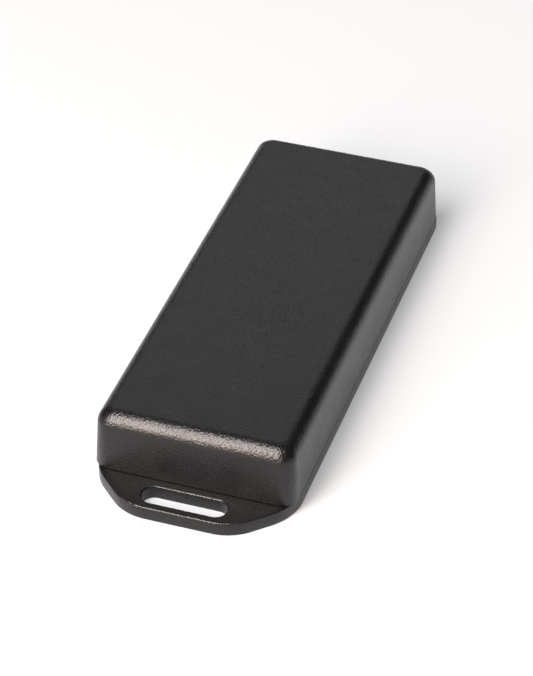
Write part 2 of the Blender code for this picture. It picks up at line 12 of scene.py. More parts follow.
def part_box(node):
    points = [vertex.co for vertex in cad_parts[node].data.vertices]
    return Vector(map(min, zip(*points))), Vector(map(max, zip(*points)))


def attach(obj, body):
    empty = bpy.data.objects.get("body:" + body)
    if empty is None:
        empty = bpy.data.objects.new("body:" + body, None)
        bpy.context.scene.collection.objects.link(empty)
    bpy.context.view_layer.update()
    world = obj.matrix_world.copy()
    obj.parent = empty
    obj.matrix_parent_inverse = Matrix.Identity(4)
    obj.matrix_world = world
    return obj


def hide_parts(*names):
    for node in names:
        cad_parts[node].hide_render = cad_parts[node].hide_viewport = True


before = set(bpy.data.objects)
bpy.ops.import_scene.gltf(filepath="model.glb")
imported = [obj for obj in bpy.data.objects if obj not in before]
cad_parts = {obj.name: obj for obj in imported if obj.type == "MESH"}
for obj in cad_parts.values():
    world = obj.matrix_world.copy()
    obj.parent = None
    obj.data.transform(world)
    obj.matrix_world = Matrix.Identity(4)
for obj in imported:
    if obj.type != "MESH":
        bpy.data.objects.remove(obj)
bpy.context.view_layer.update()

MM = 0.001
# How far a cutter reaches past what it cuts, and a length too small to be seen
OVERRUN = 1.0 * MM
HAIR = 0.001 * MM

# Places that the frame gives
COVER_LOW, COVER_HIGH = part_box("cover")
BOARD_LOW, BOARD_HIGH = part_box("circuit_board")
HALF_WIDTH = COVER_HIGH[0]
NEAR_WALL, FAR_WALL = COVER_LOW[1], COVER_HIGH[1]
COVER_BOTTOM, COVER_TOP = COVER_LOW[2], COVER_HIGH[2]
FLANGE_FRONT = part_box("base_plate")[0][1]

# The case's own dimensions
SEAM = 0.25 * MM
PARTING = 0.12 * MM
BASE_TOP = COVER_BOTTOM - SEAM
WALL = 1.8 * MM
ROOF = 2.0 * MM
DRAFT = math.tan(math.radians(2.9))
EDGE_RADIUS = 2.8 * MM
CORNER_RADIUS = 2.8 * MM
COVER_FOOT = 0.04 * MM
CEILING_FILLET = 0.6 * MM
BASE_INSET = 0.01 * MM
BASE_FAR_RADIUS = 2.1 * MM
RIM_RADIUS = 0.25 * MM
FOOT_RADIUS = 0.12 * MM
FLANGE_FRONT_HALF = 9.3 * MM
FLANGE_FRONT_RADIUS = 8.9 * MM
SHOULDER_START = 0.8 * MM
SHOULDER_RADIUS = 10.0 * MM
SLOT_LENGTH = 14.7 * MM
SLOT_WIDTH = 4.1 * MM
SLOT_DISTANCE = 3.62 * MM
SLOT_RIM = 0.25 * MM
SLOT_FOOT = 0.1 * MM

# Inside of the case
ROOTED = 0.5 * MM
BOSS_RADIUS = 2.85 * MM
BOSS_EDGE = 0.1 * MM
PILOT_RADIUS = 1.25 * MM
PILOT_EDGE = 0.2 * MM
PILOT_TOP = 9.6 * MM
MOUTH_FLARE = 0.2 * MM
USB_MOUTH = (8.2 * MM, 9.7 * MM, 0.5 * MM)
HEADER_MOUTH = (8.82 * MM, 11.2 * MM, 0.4 * MM)
RIB = 1.2 * MM
RIB_TOP = 4.2 * MM
SIDE_RIB_X = 14.75 * MM
SIDE_RIB_LENGTH = 70.5 * MM
NEAR_RIB_LENGTH = 17.0 * MM
NEAR_RIB_INSET = 2.75 * MM
FILLET = 0.25 * MM
FILLET_MIDDLE = 0.07 * MM
POST_RADIUS = 2.4 * MM
POST_TOP = 3.6 * MM
POST_EDGE = 0.08 * MM
POST_BORE = 1.15 * MM
POST_BORE_FLOOR = 1.1 * MM
BORE_EDGE = 0.15 * MM
BORE_FLARE = 0.35 * MM
SILL_DEPTH = 1.4 * MM
SILL_EDGE = 0.12 * MM
SILL_INSET = 1.0 * MM
SILLS = {"usb_shell": (7.7 * MM, 5.3 * MM), "target_header_block": (8.22 * MM, 4.85 * MM)}
SINK_RADIUS = 2.35 * MM
SINK_EDGE = 0.15 * MM
SINK_STRAIGHT = 0.55 * MM
SINK_DEPTH = 1.5 * MM
SINK_BORE = 1.4 * MM

# Screws
CASE_SCREW_RADIUS = 1.1 * MM
BOARD_SCREW_RADIUS = 0.95 * MM
BOARD_SCREW_HEAD = 1.2 * MM
THREAD_ROOT = 0.72
THREAD_STEPS = 6
HEAD_EDGE = 0.08 * MM

# Circuit board; parts stand a STANDOFF above it, and their leads reach a LEAD_DROP lower than they do
BOARD_NECK_HALF = 9.9 * MM
BOARD_STEP = 7.6 * MM
BOARD_USB_SIDE = 0.3 * MM
BOARD_CORNER = 0.5 * MM
MASK_INSET = 0.18 * MM
SCREW_HOLE = 1.25 * MM
SCREW_LAND = 2.5 * MM
PIN_HOLE = 0.62 * MM
PIN_LAND = 1.0 * MM
VIA_RIM = 0.42 * MM
VIA_BORE = 0.17 * MM
PIN_HALF = 0.32 * MM
PITCH = 2.54 * MM
SKIN = 0.03 * MM
FOIL = 0.035 * MM
STANDOFF = 0.1 * MM
LEAD_DROP = 0.05 * MM
BUTTON_WELL = 2.15 * MM
BUTTON_FLOOR = 0.7 * MM
# The next three are plain millimetres, like the ends of the tracks
TRACK = 0.25
LEAD_PITCH = 0.8
RESISTOR_X = (-3.0, 0.0, 3.0, 6.0)
SILK_NODES = ["voltage_regulator", "power_switch_transistor", "resettable_fuse", "tantalum_capacitor_1",
              "tantalum_capacitor_2", "crystal_base", "status_lamp_1", "status_lamp_2"]
SILK_DOTS = {"microcontroller": 0.75 * MM, "level_shifter_1": 0.6 * MM, "level_shifter_2": 0.6 * MM}

# Fineness of curves, and the angles in degrees past which an edge stays sharp
CORNER_STEPS = 14
SHARP = 32
SCREW_SHARP = 40
SOLDER_SHARP = 50
LEAD_SOLDER_SHARP = 60

# Studio: the camera, and the table just below the case
CAMERA_SENSOR, CAMERA_LENS = 36.0, 147.87
CAMERA_PLACE = Vector((118.27 * MM, NEAR_WALL - 323.50 * MM, 298.27 * MM))
CAMERA_RIGHT = (0.9499, 0.3127, 0.0034)
CAMERA_FORWARD = (-0.2458, 0.7534, -0.6099)
TABLE_TOP = -0.02 * MM
TABLE_HALF = 3.0

# Materials by name
LOOKS = {}


# ---------------------------------------------------------------- outlines and solids
def rounded(corners, steps=CORNER_STEPS):
    """Points along an outline of (x, y, radius) corners, each round corner in the given steps."""
    points = []
    for index, (x, y, radius) in enumerate(corners):
        before, after = corners[index - 1], corners[(index + 1) % len(corners)]
        if radius == 0:
            points.append((x, y))
            continue
        back = math.atan2(before[1] - y, before[0] - x)
        ahead = math.atan2(after[1] - y, after[0] - x)
        half = ((ahead - back + math.pi) % math.tau - math.pi) / 2
        middle = back + half
        reach = radius / abs(math.sin(half))
        centre = (x + reach * math.cos(middle), y + reach * math.sin(middle))
        sweep = math.copysign(math.pi - 2 * abs(half), -half)
        start = middle + math.pi - sweep / 2
        for step in range(steps + 1):
            angle = start + sweep * step / steps
            points.append((centre[0] + radius * math.cos(angle), centre[1] + radius * math.sin(angle)))
    return points


def rectangle(half_width, low, high, radius=0.0):
    """Corners of a rectangle that is centred across X and runs from low to high."""
    return [(-half_width, low, radius), (half_width, low, radius),
            (half_width, high, radius), (-half_width, high, radius)]


def level(outline, z):
    """Ring of an outline at one height."""
    return [(x, y, z) for x, y in outline]


def loft(rings, closed=False):
    """Solid through rings of equal point counts, capped at both ends or joined back to its start."""
    count = len(rings[0])
    points = [point for ring in rings for point in ring]
    faces = []
    for lower in range(len(rings) if closed else len(rings) - 1):
        first, second = lower * count, (lower + 1) % len(rings) * count
        for step in range(count):
            following = (step + 1) % count
            faces.append((first + step, first + following, second + following, second + step))
    if not closed:
        faces.append(tuple(range(count))[::-1])
        faces.append(tuple(range(len(points) - count, len(points))))
    return points, faces


def circle(radius, segments=32, x=0.0, y=0.0):
    """Points around a circle."""
    turns = [math.tau * step / segments for step in range(segments)]
    return [(x + radius * math.cos(turn), y + radius * math.sin(turn)) for turn in turns]


def arc_rings(radius, steps):
    """(inset, rise) pairs of a quarter circle, from the foot of the rounding to its top."""
    turns = [math.pi / 2 * step / steps for step in range(steps + 1)]
    return [(radius * (1 - math.cos(turn)), radius * math.sin(turn)) for turn in turns]


def turned(profile, segments=32):
    """Solid of revolution about Z through (radius, z) rings."""
    return loft([level(circle(radius, segments), z) for radius, z in profile])


def prism(outline, low, high):
    """Outline in X and Y, drawn upwards from low to high."""
    return loft([level(outline, low), level(outline, high)])


def side_prism(outline, half_width):
    """Outline in Y and Z, drawn across X."""
    return loft([[(x, y, z) for y, z in outline] for x in (-half_width, half_width)])


def hoop(outer, inner, low, high):
    """Flat ring between two outlines of equal point counts."""
    rings = ((outer, low), (outer, high), (inner, high), (inner, low))
    return loft([level(outline, z) for outline, z in rings], closed=True)


def block(width, depth, low, high, edge=0.0, steps=3):
    """Upright block centred across X and Y, its top and upright edges rounded by the given radius."""
    if not edge:
        return prism([(x, y) for x, y, _ in rectangle(width / 2, -depth / 2, depth / 2)], low, high)
    rings = []
    for inset, z in [(0.0, low)] + [(inset, high - edge + rise) for inset, rise in arc_rings(edge, steps)]:
        half_depth = depth / 2 - inset
        corners = rectangle(width / 2 - inset, -half_depth, half_depth, edge * 1.01 - inset * 0.9)
        rings.append(level(rounded(corners, steps), z))
    return loft(rings)


def moved(solid, x=0.0, y=0.0, z=0.0):
    """Copy of a solid, shifted."""
    return [(px + x, py + y, pz + z) for px, py, pz in solid[0]], solid[1]


def quarter_turned(solid, turns):
    """Copy of a solid, turned about Z by a number of right angles."""
    cosine, sine = round(math.cos(turns * math.pi / 2)), round(math.sin(turns * math.pi / 2))
    return [(x * cosine - y * sine, x * sine + y * cosine, z) for x, y, z in solid[0]], solid[1]


def at_each(solid, places):
    """Copies of a solid, shifted across X and Y to each place."""
    return [moved(solid, place[0], place[1]) for place in places]


def together(solids):
    """Several solids in one mesh."""
    points, faces = [], []
    for solid in solids:
        faces += [tuple(index + len(points) for index in face) for face in solid[1]]
        points += solid[0]
    return points, faces


def stand(solid, place, turns=0, lift=0.0):
    """Copy of a solid, turned by right angles and stood at a place."""
    return moved(quarter_turned(solid, turns), place[0], place[1], place[2] + lift)


def both_ends(solid, y, z=0.0):
    """Copies of a solid at both ends of a part."""
    return [moved(solid, 0.0, end * y, z) for end in (-1, 1)]


# ---------------------------------------------------------------- pieces
def piece(name, solids, material, sharp=SHARP):
    """Mesh object from a solid or a list of them, with its faces pointing out and its round sides smooth."""
    points, faces = together(solids) if isinstance(solids, list) else solids
    mesh = bpy.data.meshes.new(name)
    mesh.from_pydata(points, [], faces)
    turner = bmesh.new()
    turner.from_mesh(mesh)
    bmesh.ops.recalc_face_normals(turner, faces=turner.faces)
    turner.to_mesh(mesh)
    turner.free()
    made = bpy.data.objects.new(name, mesh)
    bpy.context.scene.collection.objects.link(made)
    made.data.materials.append(LOOKS[material])
    smooth(made, sharp)
    return made


def smooth(made, sharp):
    """Shade smooth, apart from edges sharper than the given angle in degrees."""
    made.data.shade_smooth()
    made.data.set_sharp_from_angle(angle=math.radians(sharp))


def shape_with(made, solids, operation, sharp=SHARP):
    """Cut the piece with solids, or join them to it, and keep the result."""
    tool = piece("tool", solids, made.data.materials[0].name)
    modifier = made.modifiers.new("shape", "BOOLEAN")
    modifier.operation = operation
    modifier.object = tool
    modifier.solver = "EXACT"
    evaluated = made.evaluated_get(bpy.context.evaluated_depsgraph_get())
    mesh = bpy.data.meshes.new_from_object(evaluated)
    made.modifiers.clear()
    made.data = mesh
    bpy.data.objects.remove(tool)
    smooth(made, sharp)


def fit(made, body, slot, *nodes):
    """Ride on a body and stand for CAD nodes; the slot argument is not used."""
    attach(made, body)
    if nodes:
        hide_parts(*nodes)


def on_base(name, solids, material, slot="tinned_metal", *nodes, cuts=None, sharp=SHARP):
    """Piece of the base body, with the cuts taken out of it."""
    made = piece(name, solids, material, sharp)
    if cuts:
        shape_with(made, cuts, "DIFFERENCE", sharp)
    fit(made, "base", slot, *nodes)


def spot(node):
    """Middle of a CAD node's foot, and its size."""
    low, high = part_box(node)
    middle = (low + high) / 2
    return (middle.x, middle.y, low.z), high - low


CASE_SCREWS = [spot(f"case_screw_{number}")[0] for number in range(1, 5)]
BOARD_SCREWS = [spot(f"board_screw_{number}")[0] for number in range(1, 4)]
PIN_BOXES = [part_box(f"target_pin_{number}") for number in range(1, 7)]
PIN_FEET = [((low.x + high.x) / 2, low.y + PIN_HALF, low.z) for low, high in PIN_BOXES]


# ---------------------------------------------------------------- materials
class Nodes:
    """Short way to write a material's node tree."""

    def __init__(self, name):
        self.material = bpy.data.materials.new(name)
        self.material.use_nodes = True
        self.tree = self.material.node_tree
        LOOKS[name] = self.material
        self.shader = self.tree.nodes["Principled BSDF"]

    def add(self, kind, links=(), **values):
        node = self.tree.nodes.new("ShaderNode" + kind)
        for name, value in values.items():
            setattr(node, name, value)
        for socket, value in dict(links).items():
            self.set(node, socket, value)
        return node

    def set(self, node, socket, value):
        if isinstance(value, bpy.types.NodeSocket):
            self.tree.links.new(value, node.inputs[socket])
        else:
            node.inputs[socket].default_value = value

    def shade(self, **values):
        for name, value in values.items():
            self.set(self.shader, name.replace("_", " "), value)

    def place(self):
        return self.add("TexCoord").outputs["Object"]

    def noise(self, size, detail=2.0, roughness=0.5, squeeze=(1.0, 1.0, 1.0)):
        """Fractal noise with features of about the given size in metres, finer along squeezed axes."""
        place = self.add("VectorMath", {0: self.place(), 1: squeeze}, operation="MULTIPLY").outputs[0]
        node = self.add("TexNoise", {"Vector": place, "Scale": 1.0 / size, "Detail": detail,
                                     "Roughness": roughness})
        return node.outputs["Fac"]

    def bands(self, period, axis):
        """Soft stripes of the given period in metres along an axis."""
        node = self.add("TexWave", {"Vector": self.place(), "Scale": math.pi / 10 / period, "Distortion": 0.4,
                                    "Detail": 1.0, "Detail Scale": 2.0}, bands_direction=axis)
        return node.outputs["Fac"]

    def ramp(self, value, low, high, start=0.35, end=0.65):
        """Map a value between start and end onto low to high."""
        node = self.add("MapRange", {"Value": value, "From Min": start, "From Max": end, "To Min": low,
                                     "To Max": high})
        return node.outputs["Result"]

    def blend(self, factor, first, second):
        """Mix of two colours."""
        node = self.add("Mix", data_type="RGBA")
        self.set(node, 0, factor)
        self.set(node, 6, (*first, 1.0) if isinstance(first, tuple) else first)
        self.set(node, 7, (*second, 1.0) if isinstance(second, tuple) else second)
        return node.outputs[2]

    def bump(self, height, distance):
        """Normal of a surface with the given height in metres."""
        return self.add("Bump", {"Height": height, "Distance": distance, "Strength": 1.0}).outputs["Normal"]


def moulded_abs(name):
    """Charcoal ABS with a fine spark-eroded grain, faintly uneven in tone and gloss."""
    made = Nodes(name)
    grain = made.noise(0.36 * MM)
    colour = made.blend(made.ramp(grain, 0.0, 1.0), (0.0020, 0.0020, 0.0020), (0.0048, 0.0048, 0.0048))
    colour = made.blend(made.ramp(made.noise(9 * MM), 0.0, 0.35), colour, (0.0056, 0.0054, 0.0053))
    made.shade(Base_Color=colour, Roughness=made.ramp(made.noise(3 * MM), 0.28, 0.32),
               Specular_IOR_Level=0.46, Normal=made.bump(grain, 0.1 * MM))


def plain(name, colour, roughness, grain, depth, spread=0.25, metallic=0.0):
    """Grained material with a small variation of colour and gloss; grain and depth are in millimetres."""
    made = Nodes(name)
    fine = made.noise(grain * MM, 3.0)
    dark = tuple(channel * (1 - spread) for channel in colour)
    made.shade(Base_Color=made.blend(made.ramp(fine, 0.0, 1.0), dark, colour), Metallic=metallic,
               Roughness=made.ramp(made.noise(4 * grain * MM), roughness * 0.85, roughness * 1.15),
               Normal=made.bump(fine, depth * MM))


def sheet_metal(name, colour, roughness, stretch=(1.0, 12.0, 1.0)):
    """Rolled or brushed metal: fine streaks in gloss and height, and faint tarnish."""
    made = Nodes(name)
    streaks = made.noise(0.5 * MM, 3.0, 0.6, stretch)
    tarnish = made.noise(1.6 * MM, 3.0)
    dull = tuple(channel * 0.72 for channel in colour)
    made.shade(Base_Color=made.blend(made.ramp(tarnish, 0.0, 1.0), dull, colour), Metallic=1.0,
               Roughness=made.ramp(streaks, roughness * 0.75, roughness * 1.3),
               Normal=made.bump(streaks, 0.003 * MM))


def solder_mask(name, dark, light, roughness):
    """Glossy lacquer over woven glass: a faint 0.5 mm weave in height and tone, with cloudy gloss."""
    made = Nodes(name)
    warp, weft = made.bands(0.5 * MM, "X"), made.bands(0.5 * MM, "Y")
    weave = made.add("Math", {0: warp, 1: weft}, operation="MULTIPLY").outputs[0]
    cloud = made.noise(2.5 * MM, 3.0)
    colour = made.blend(made.ramp(weave, 0.0, 0.45, 0.0, 1.0), dark, light)
    colour = made.blend(made.ramp(cloud, 0.0, 0.3), colour, light)
    made.shade(Base_Color=colour, Roughness=made.ramp(cloud, roughness * 0.8, roughness * 1.25),
               Normal=made.bump(weave, 0.004 * MM))


def cut_laminate(name):
    """Routed edge of glass epoxy: thin plies in straw and amber."""
    made = Nodes(name)
    plies = made.ramp(made.bands(0.2 * MM, "Z"), 0.0, 0.6, 0.0, 1.0)
    fibre = made.noise(0.12 * MM, 3.0, 0.6, (1.0, 1.0, 4.0))
    colour = made.blend(plies, (0.30, 0.24, 0.10), (0.46, 0.40, 0.22))
    colour = made.blend(made.ramp(fibre, 0.0, 0.4), colour, (0.55, 0.50, 0.33))
    made.shade(Base_Color=colour, Roughness=made.ramp(fibre, 0.5, 0.75), Normal=made.bump(fibre, 0.01 * MM))


def clear_lens(name):
    """Clear cast resin, slightly milky, with tiny ripples."""
    made = Nodes(name)
    ripple = made.noise(0.4 * MM)
    made.shade(Base_Color=made.blend(made.ramp(ripple, 0.0, 1.0), (0.80, 0.88, 0.70), (0.90, 0.93, 0.84)),
               Roughness=made.ramp(ripple, 0.06, 0.16), Transmission_Weight=0.55, IOR=1.52,
               Normal=made.bump(ripple, 0.004 * MM))


def make_materials():
    """Every material; the plain ones are listed as name, colour, roughness, grain, depth and spread."""
    moulded_abs("moulded_abs")
    for row in (("glass_filled_nylon", (0.020, 0.020, 0.021), 0.5, 0.14, 0.006),
                ("moulded_epoxy", (0.020, 0.020, 0.022), 0.42, 0.1, 0.005, 0.4),
                ("legend_ink", (0.78, 0.79, 0.77), 0.55, 0.2, 0.004, 0.12),
                ("tin_plating", (0.74, 0.73, 0.70), 0.3, 0.2, 0.004, 0.25, 1.0),
                ("solder", (0.70, 0.70, 0.71), 0.22, 0.35, 0.008, 0.18, 1.0),
                ("fired_ceramic", (0.40, 0.27, 0.15), 0.5, 0.12, 0.006),
                ("alumina", (0.72, 0.71, 0.67), 0.55, 0.1, 0.005, 0.12),
                ("resistor_glaze", (0.012, 0.012, 0.014), 0.3, 0.15, 0.004),
                ("ferrite", (0.09, 0.085, 0.08), 0.6, 0.1, 0.007),
                ("fuse_polymer", (0.03, 0.14, 0.06), 0.45, 0.2, 0.006),
                ("tantalum_moulding", (0.62, 0.34, 0.04), 0.45, 0.12, 0.005),
                ("white_plastic", (0.74, 0.73, 0.70), 0.45, 0.15, 0.004, 0.1)):
        plain(*row)
    solder_mask("solder_mask", (0.003, 0.045, 0.016), (0.006, 0.075, 0.028), 0.28)
    solder_mask("masked_copper", (0.010, 0.120, 0.045), (0.016, 0.150, 0.060), 0.24)
    cut_laminate("cut_laminate")
    sheet_metal("zinc_plated_steel", (0.62, 0.61, 0.57), 0.34, (1.0, 1.0, 3.0))
    sheet_metal("tin_plated_sheet", (0.70, 0.69, 0.66), 0.3)
    sheet_metal("gold_plating", (0.85, 0.62, 0.25), 0.24)
    clear_lens("clear_lens")


# ---------------------------------------------------------------- case shells
def cover_ring(z, inset):
    """Outline of the cover's wall at one height; its corners tighten as the wall leans in."""
    corners = rectangle(HALF_WIDTH - inset, NEAR_WALL + inset, FAR_WALL - inset, CORNER_RADIUS - inset / 2)
    return level(rounded(corners), z)


def cover_shell():
    """Upper shell with leaning walls and rolled top edge."""
    shoulder = COVER_TOP - EDGE_RADIUS
    lean = (shoulder - COVER_BOTTOM) * DRAFT
    low, ceiling = BASE_TOP + PARTING, COVER_TOP - ROOF
    rings = [cover_ring(shoulder + rise, lean + inset) for inset, rise in arc_rings(EDGE_RADIUS, 12)][::-1]
    rings += [cover_ring(low + COVER_FOOT - rise, inset) for inset, rise in arc_rings(COVER_FOOT, 3)]
    rings += [cover_ring(low, WALL - COVER_FOOT), cover_ring(low + COVER_FOOT, WALL)]
    rings += [cover_ring(ceiling - CEILING_FILLET + rise, WALL + lean + inset)
              for inset, rise in arc_rings(CEILING_FILLET, 4)]
    shell = piece("cover_shell", loft(rings), "moulded_abs")
    boss = turned([(BOSS_RADIUS - BOSS_EDGE, COVER_BOTTOM), (BOSS_RADIUS, COVER_BOTTOM + BOSS_EDGE),
                   (BOSS_RADIUS, ceiling + ROOTED)], 40)
    shape_with(shell, at_each(boss, CASE_SCREWS), "UNION")
    pilot = turned([(PILOT_RADIUS + OVERRUN, COVER_BOTTOM + PILOT_EDGE - OVERRUN),
                    (PILOT_RADIUS, COVER_BOTTOM + PILOT_EDGE), (PILOT_RADIUS, PILOT_TOP)])
    mouths = [connector_mouth("usb_shell", *USB_MOUTH), connector_mouth("target_header_block", *HEADER_MOUTH)]
    shape_with(shell, at_each(pilot, CASE_SCREWS) + mouths, "DIFFERENCE")
    fit(shell, "cover", "shell_plastic", "cover")


def connector_mouth(node, width, top, corner):
    """Cutter for a mouth in the far wall, open at the wall's foot and flared where it meets the outside."""
    x = spot(node)[0][0]

    def ring(depth, growth):
        half, roof = width / 2 + growth, top + growth
        outline = rounded([(x - half, 0.0, 0.0), (x + half, 0.0, 0.0), (x + half, roof, corner),
                           (x - half, roof, corner)], 6)
        return [(px, FAR_WALL - depth - (z - COVER_BOTTOM) * DRAFT, z) for px, z in outline]

    return loft([ring(2 * WALL, 0.0), ring(MOUTH_FLARE, 0.0), ring(-OVERRUN, MOUTH_FLARE + OVERRUN)])


def base_corners(inset):
    """Corners of the base plate and its flange, with every side moved in by the inset."""
    half = HALF_WIDTH - BASE_INSET - inset
    shoulder_y = NEAR_WALL + SHOULDER_START
    side = HALF_WIDTH - BASE_INSET - FLANGE_FRONT_HALF
    rise = shoulder_y - FLANGE_FRONT
    slant = math.hypot(side, rise)
    front_half = FLANGE_FRONT_HALF - inset * (slant - side) / rise
    shoulder = shoulder_y + inset * (slant - rise) / side
    front, far = FLANGE_FRONT + inset, FAR_WALL - BASE_INSET - inset
    right = [(front_half, front, FLANGE_FRONT_RADIUS - inset), (half, shoulder, SHOULDER_RADIUS - inset),
             (half, far, BASE_FAR_RADIUS - inset)]
    return right + [(-x, y, radius) for x, y, radius in right[::-1]]


def flared_slot():
    """Cutter for the strap slot, widening at both faces so that its rims come out rounded."""
    middle = NEAR_WALL - SLOT_DISTANCE

    def ring(z, growth):
        half = SLOT_WIDTH / 2 + growth
        corners = rectangle(SLOT_LENGTH / 2 + growth, middle - half, middle + half, half - HAIR)
        return level(rounded(corners, 16), z)

    rings = [ring(-OVERRUN, SLOT_FOOT)]
    rings += [ring(SLOT_FOOT - rise, inset) for inset, rise in arc_rings(SLOT_FOOT, 3)][::-1]
    rings += [ring(BASE_TOP - SLOT_RIM + rise, inset) for inset, rise in arc_rings(SLOT_RIM, 5)]
    return loft(rings + [ring(BASE_TOP + OVERRUN, SLOT_RIM)])


def base_shell():
    """Flat base plate with rounded edges and the slotted flange."""
    rings = [(FOOT_RADIUS - rise, inset) for inset, rise in arc_rings(FOOT_RADIUS, 3)][::-1]
    rings += [(BASE_TOP - RIM_RADIUS + rise, inset) for inset, rise in arc_rings(RIM_RADIUS, 5)]
    plate = loft([level(rounded(base_corners(inset)), z) for z, inset in rings])
    shell = piece("base_shell", plate, "moulded_abs")
    shape_with(shell, base_additions(), "UNION")
    shape_with(shell, base_holes() + [flared_slot()], "DIFFERENCE")
    fit(shell, "base", "shell_plastic", "base_plate")


def base_additions():
    """Locating ribs, the board's posts and the sills under the two connectors."""
    root, middle = BASE_TOP - ROOTED, (NEAR_WALL + FAR_WALL) / 2
    side_rib = block(RIB, SIDE_RIB_LENGTH, root, RIB_TOP, FILLET)
    near_rib = block(NEAR_RIB_LENGTH, RIB, root, RIB_TOP, FILLET)
    post = turned([(POST_RADIUS + FILLET, root), (POST_RADIUS + FILLET, BASE_TOP),
                   (POST_RADIUS + FILLET_MIDDLE, BASE_TOP + FILLET_MIDDLE), (POST_RADIUS, BASE_TOP + FILLET),
                   (POST_RADIUS, POST_TOP - POST_EDGE), (POST_RADIUS - POST_EDGE, POST_TOP)], 40)
    sills = [moved(block(width, SILL_DEPTH, root, top, SILL_EDGE), spot(node)[0][0], FAR_WALL - SILL_INSET)
             for node, (width, top) in SILLS.items()]
    ribs = at_each(side_rib, [(-SIDE_RIB_X, middle), (SIDE_RIB_X, middle)])
    ribs += at_each(near_rib, [(0.0, NEAR_WALL + NEAR_RIB_INSET)])
    return ribs + at_each(post, BOARD_SCREWS) + sills


def base_holes():
    """Countersinks for the case screws and bores for the board screws."""
    sink = turned([(SINK_RADIUS + SINK_EDGE + OVERRUN, -OVERRUN), (SINK_RADIUS, SINK_EDGE),
                   (SINK_RADIUS, SINK_STRAIGHT), (SINK_BORE, SINK_DEPTH),
                   (SINK_BORE, BASE_TOP + OVERRUN)], 40)
    bore = turned([(POST_BORE, POST_BORE_FLOOR), (POST_BORE, POST_TOP - BORE_EDGE),
                   (POST_BORE + BORE_FLARE, POST_TOP + BORE_FLARE - BORE_EDGE)])
    return at_each(sink, CASE_SCREWS) + at_each(bore, BOARD_SCREWS)


# ---------------------------------------------------------------- screws
def thread(low, high, radius, pitch, segments=24):
    """Rings of a helical thread, narrowing to a point over its last two turns."""
    rings = []
    root = THREAD_ROOT * radius
    steps = round((high - low) / pitch * THREAD_STEPS)
    for step in range(steps + 1):
        z = low + (high - low) * step / steps
        narrow = min(1.0, (high - z) / (2 * pitch) + 0.12)
        ring = []
        for corner in range(segments):
            phase = (z / pitch - corner / segments) % 1.0
            reach = narrow * (root + (radius - root) * max(0.0, 1 - abs(phase - 0.5) / 0.35))
            turn = math.tau * corner / segments
            ring.append((reach * math.cos(turn), reach * math.sin(turn), z))
        rings.append(ring)
    return rings


def cross_recess(radius, low, high):
    """Cross-shaped driver recess that narrows from low to high."""
    rings = []
    for reach, z in ((radius, low), (radius * 0.75, high)):
        arm = reach * 0.26
        corner = [(reach, -arm, z), (reach, arm, z), (arm, arm, z)], ()
        rings.append([point for turns in range(4) for point in quarter_turned(corner, turns)[0]])
    return loft(rings)


def screw(node, place, head, shank, recess):
    """Screw of a turned head and a threaded shank, with a cross recess."""
    rings = [level(circle(radius, len(shank[0])), z) for radius, z in head] + shank
    on_base(f"{node}_threaded", moved(loft(rings), *place[:2]), "zinc_plated_steel", "screw_steel", node,
            cuts=[moved(recess, *place[:2])], sharp=SCREW_SHARP)


def screws():
    """Countersunk case screws from below and pan-head board screws from above."""
    for number in range(1, 5):
        place, size = spot(f"case_screw_{number}")
        radius, foot = size.x / 2, place[2]
        head = [(radius - 0.1 * MM, foot), (radius, foot + HEAD_EDGE), (radius, foot + 0.2 * MM),
                (CASE_SCREW_RADIUS, foot + 1.1 * MM)]
        shank = thread(foot + 1.3 * MM, foot + size.z, CASE_SCREW_RADIUS, 0.95 * MM)
        recess = cross_recess(0.58 * radius, foot - 0.5 * MM, foot + 0.75 * MM)
        screw(f"case_screw_{number}", place, head, shank, recess)
    for number in range(1, 4):
        place, size = spot(f"board_screw_{number}")
        radius, tip, top = size.x / 2, place[2], place[2] + size.z
        seat, rise = top - BOARD_SCREW_HEAD, 0.45 * MM
        head = [(radius * math.cos(math.radians(turn)), top - rise + rise * math.sin(math.radians(turn)))
                for turn in (80, 60, 40, 20, 0)]
        head += [(radius, seat + HEAD_EDGE), (radius - HEAD_EDGE, seat), (BOARD_SCREW_RADIUS, seat)]
        rings = thread(-seat + 0.2 * MM, -tip, BOARD_SCREW_RADIUS, 0.8 * MM)
        shank = [[(x, y, -z) for x, y, z in ring] for ring in rings]
        recess = cross_recess(0.52 * radius, top + 0.5 * MM, top - 0.6 * MM)
        screw(f"board_screw_{number}", place, head, shank, recess)


# ---------------------------------------------------------------- circuit board
def board_outline(inset):
    """Board necked in at the screw bosses and cut back under the target connector's pins."""
    near, far, half = BOARD_LOW.y + inset, BOARD_HIGH.y - inset, BOARD_HIGH.x - inset
    neck = BOARD_NECK_HALF - inset
    near_step, far_step = NEAR_WALL + BOARD_STEP + inset, FAR_WALL - BOARD_STEP - inset
    usb_side = BOARD_USB_SIDE - inset
    corners = [(-neck, near), (neck, near), (neck, near_step), (half, near_step), (half, far_step),
               (usb_side, far_step), (usb_side, far), (-neck, far), (-neck, far_step), (-half, far_step),
               (-half, near_step), (-neck, near_step)]
    return rounded([(x, y, BOARD_CORNER) for x, y in corners], 4)


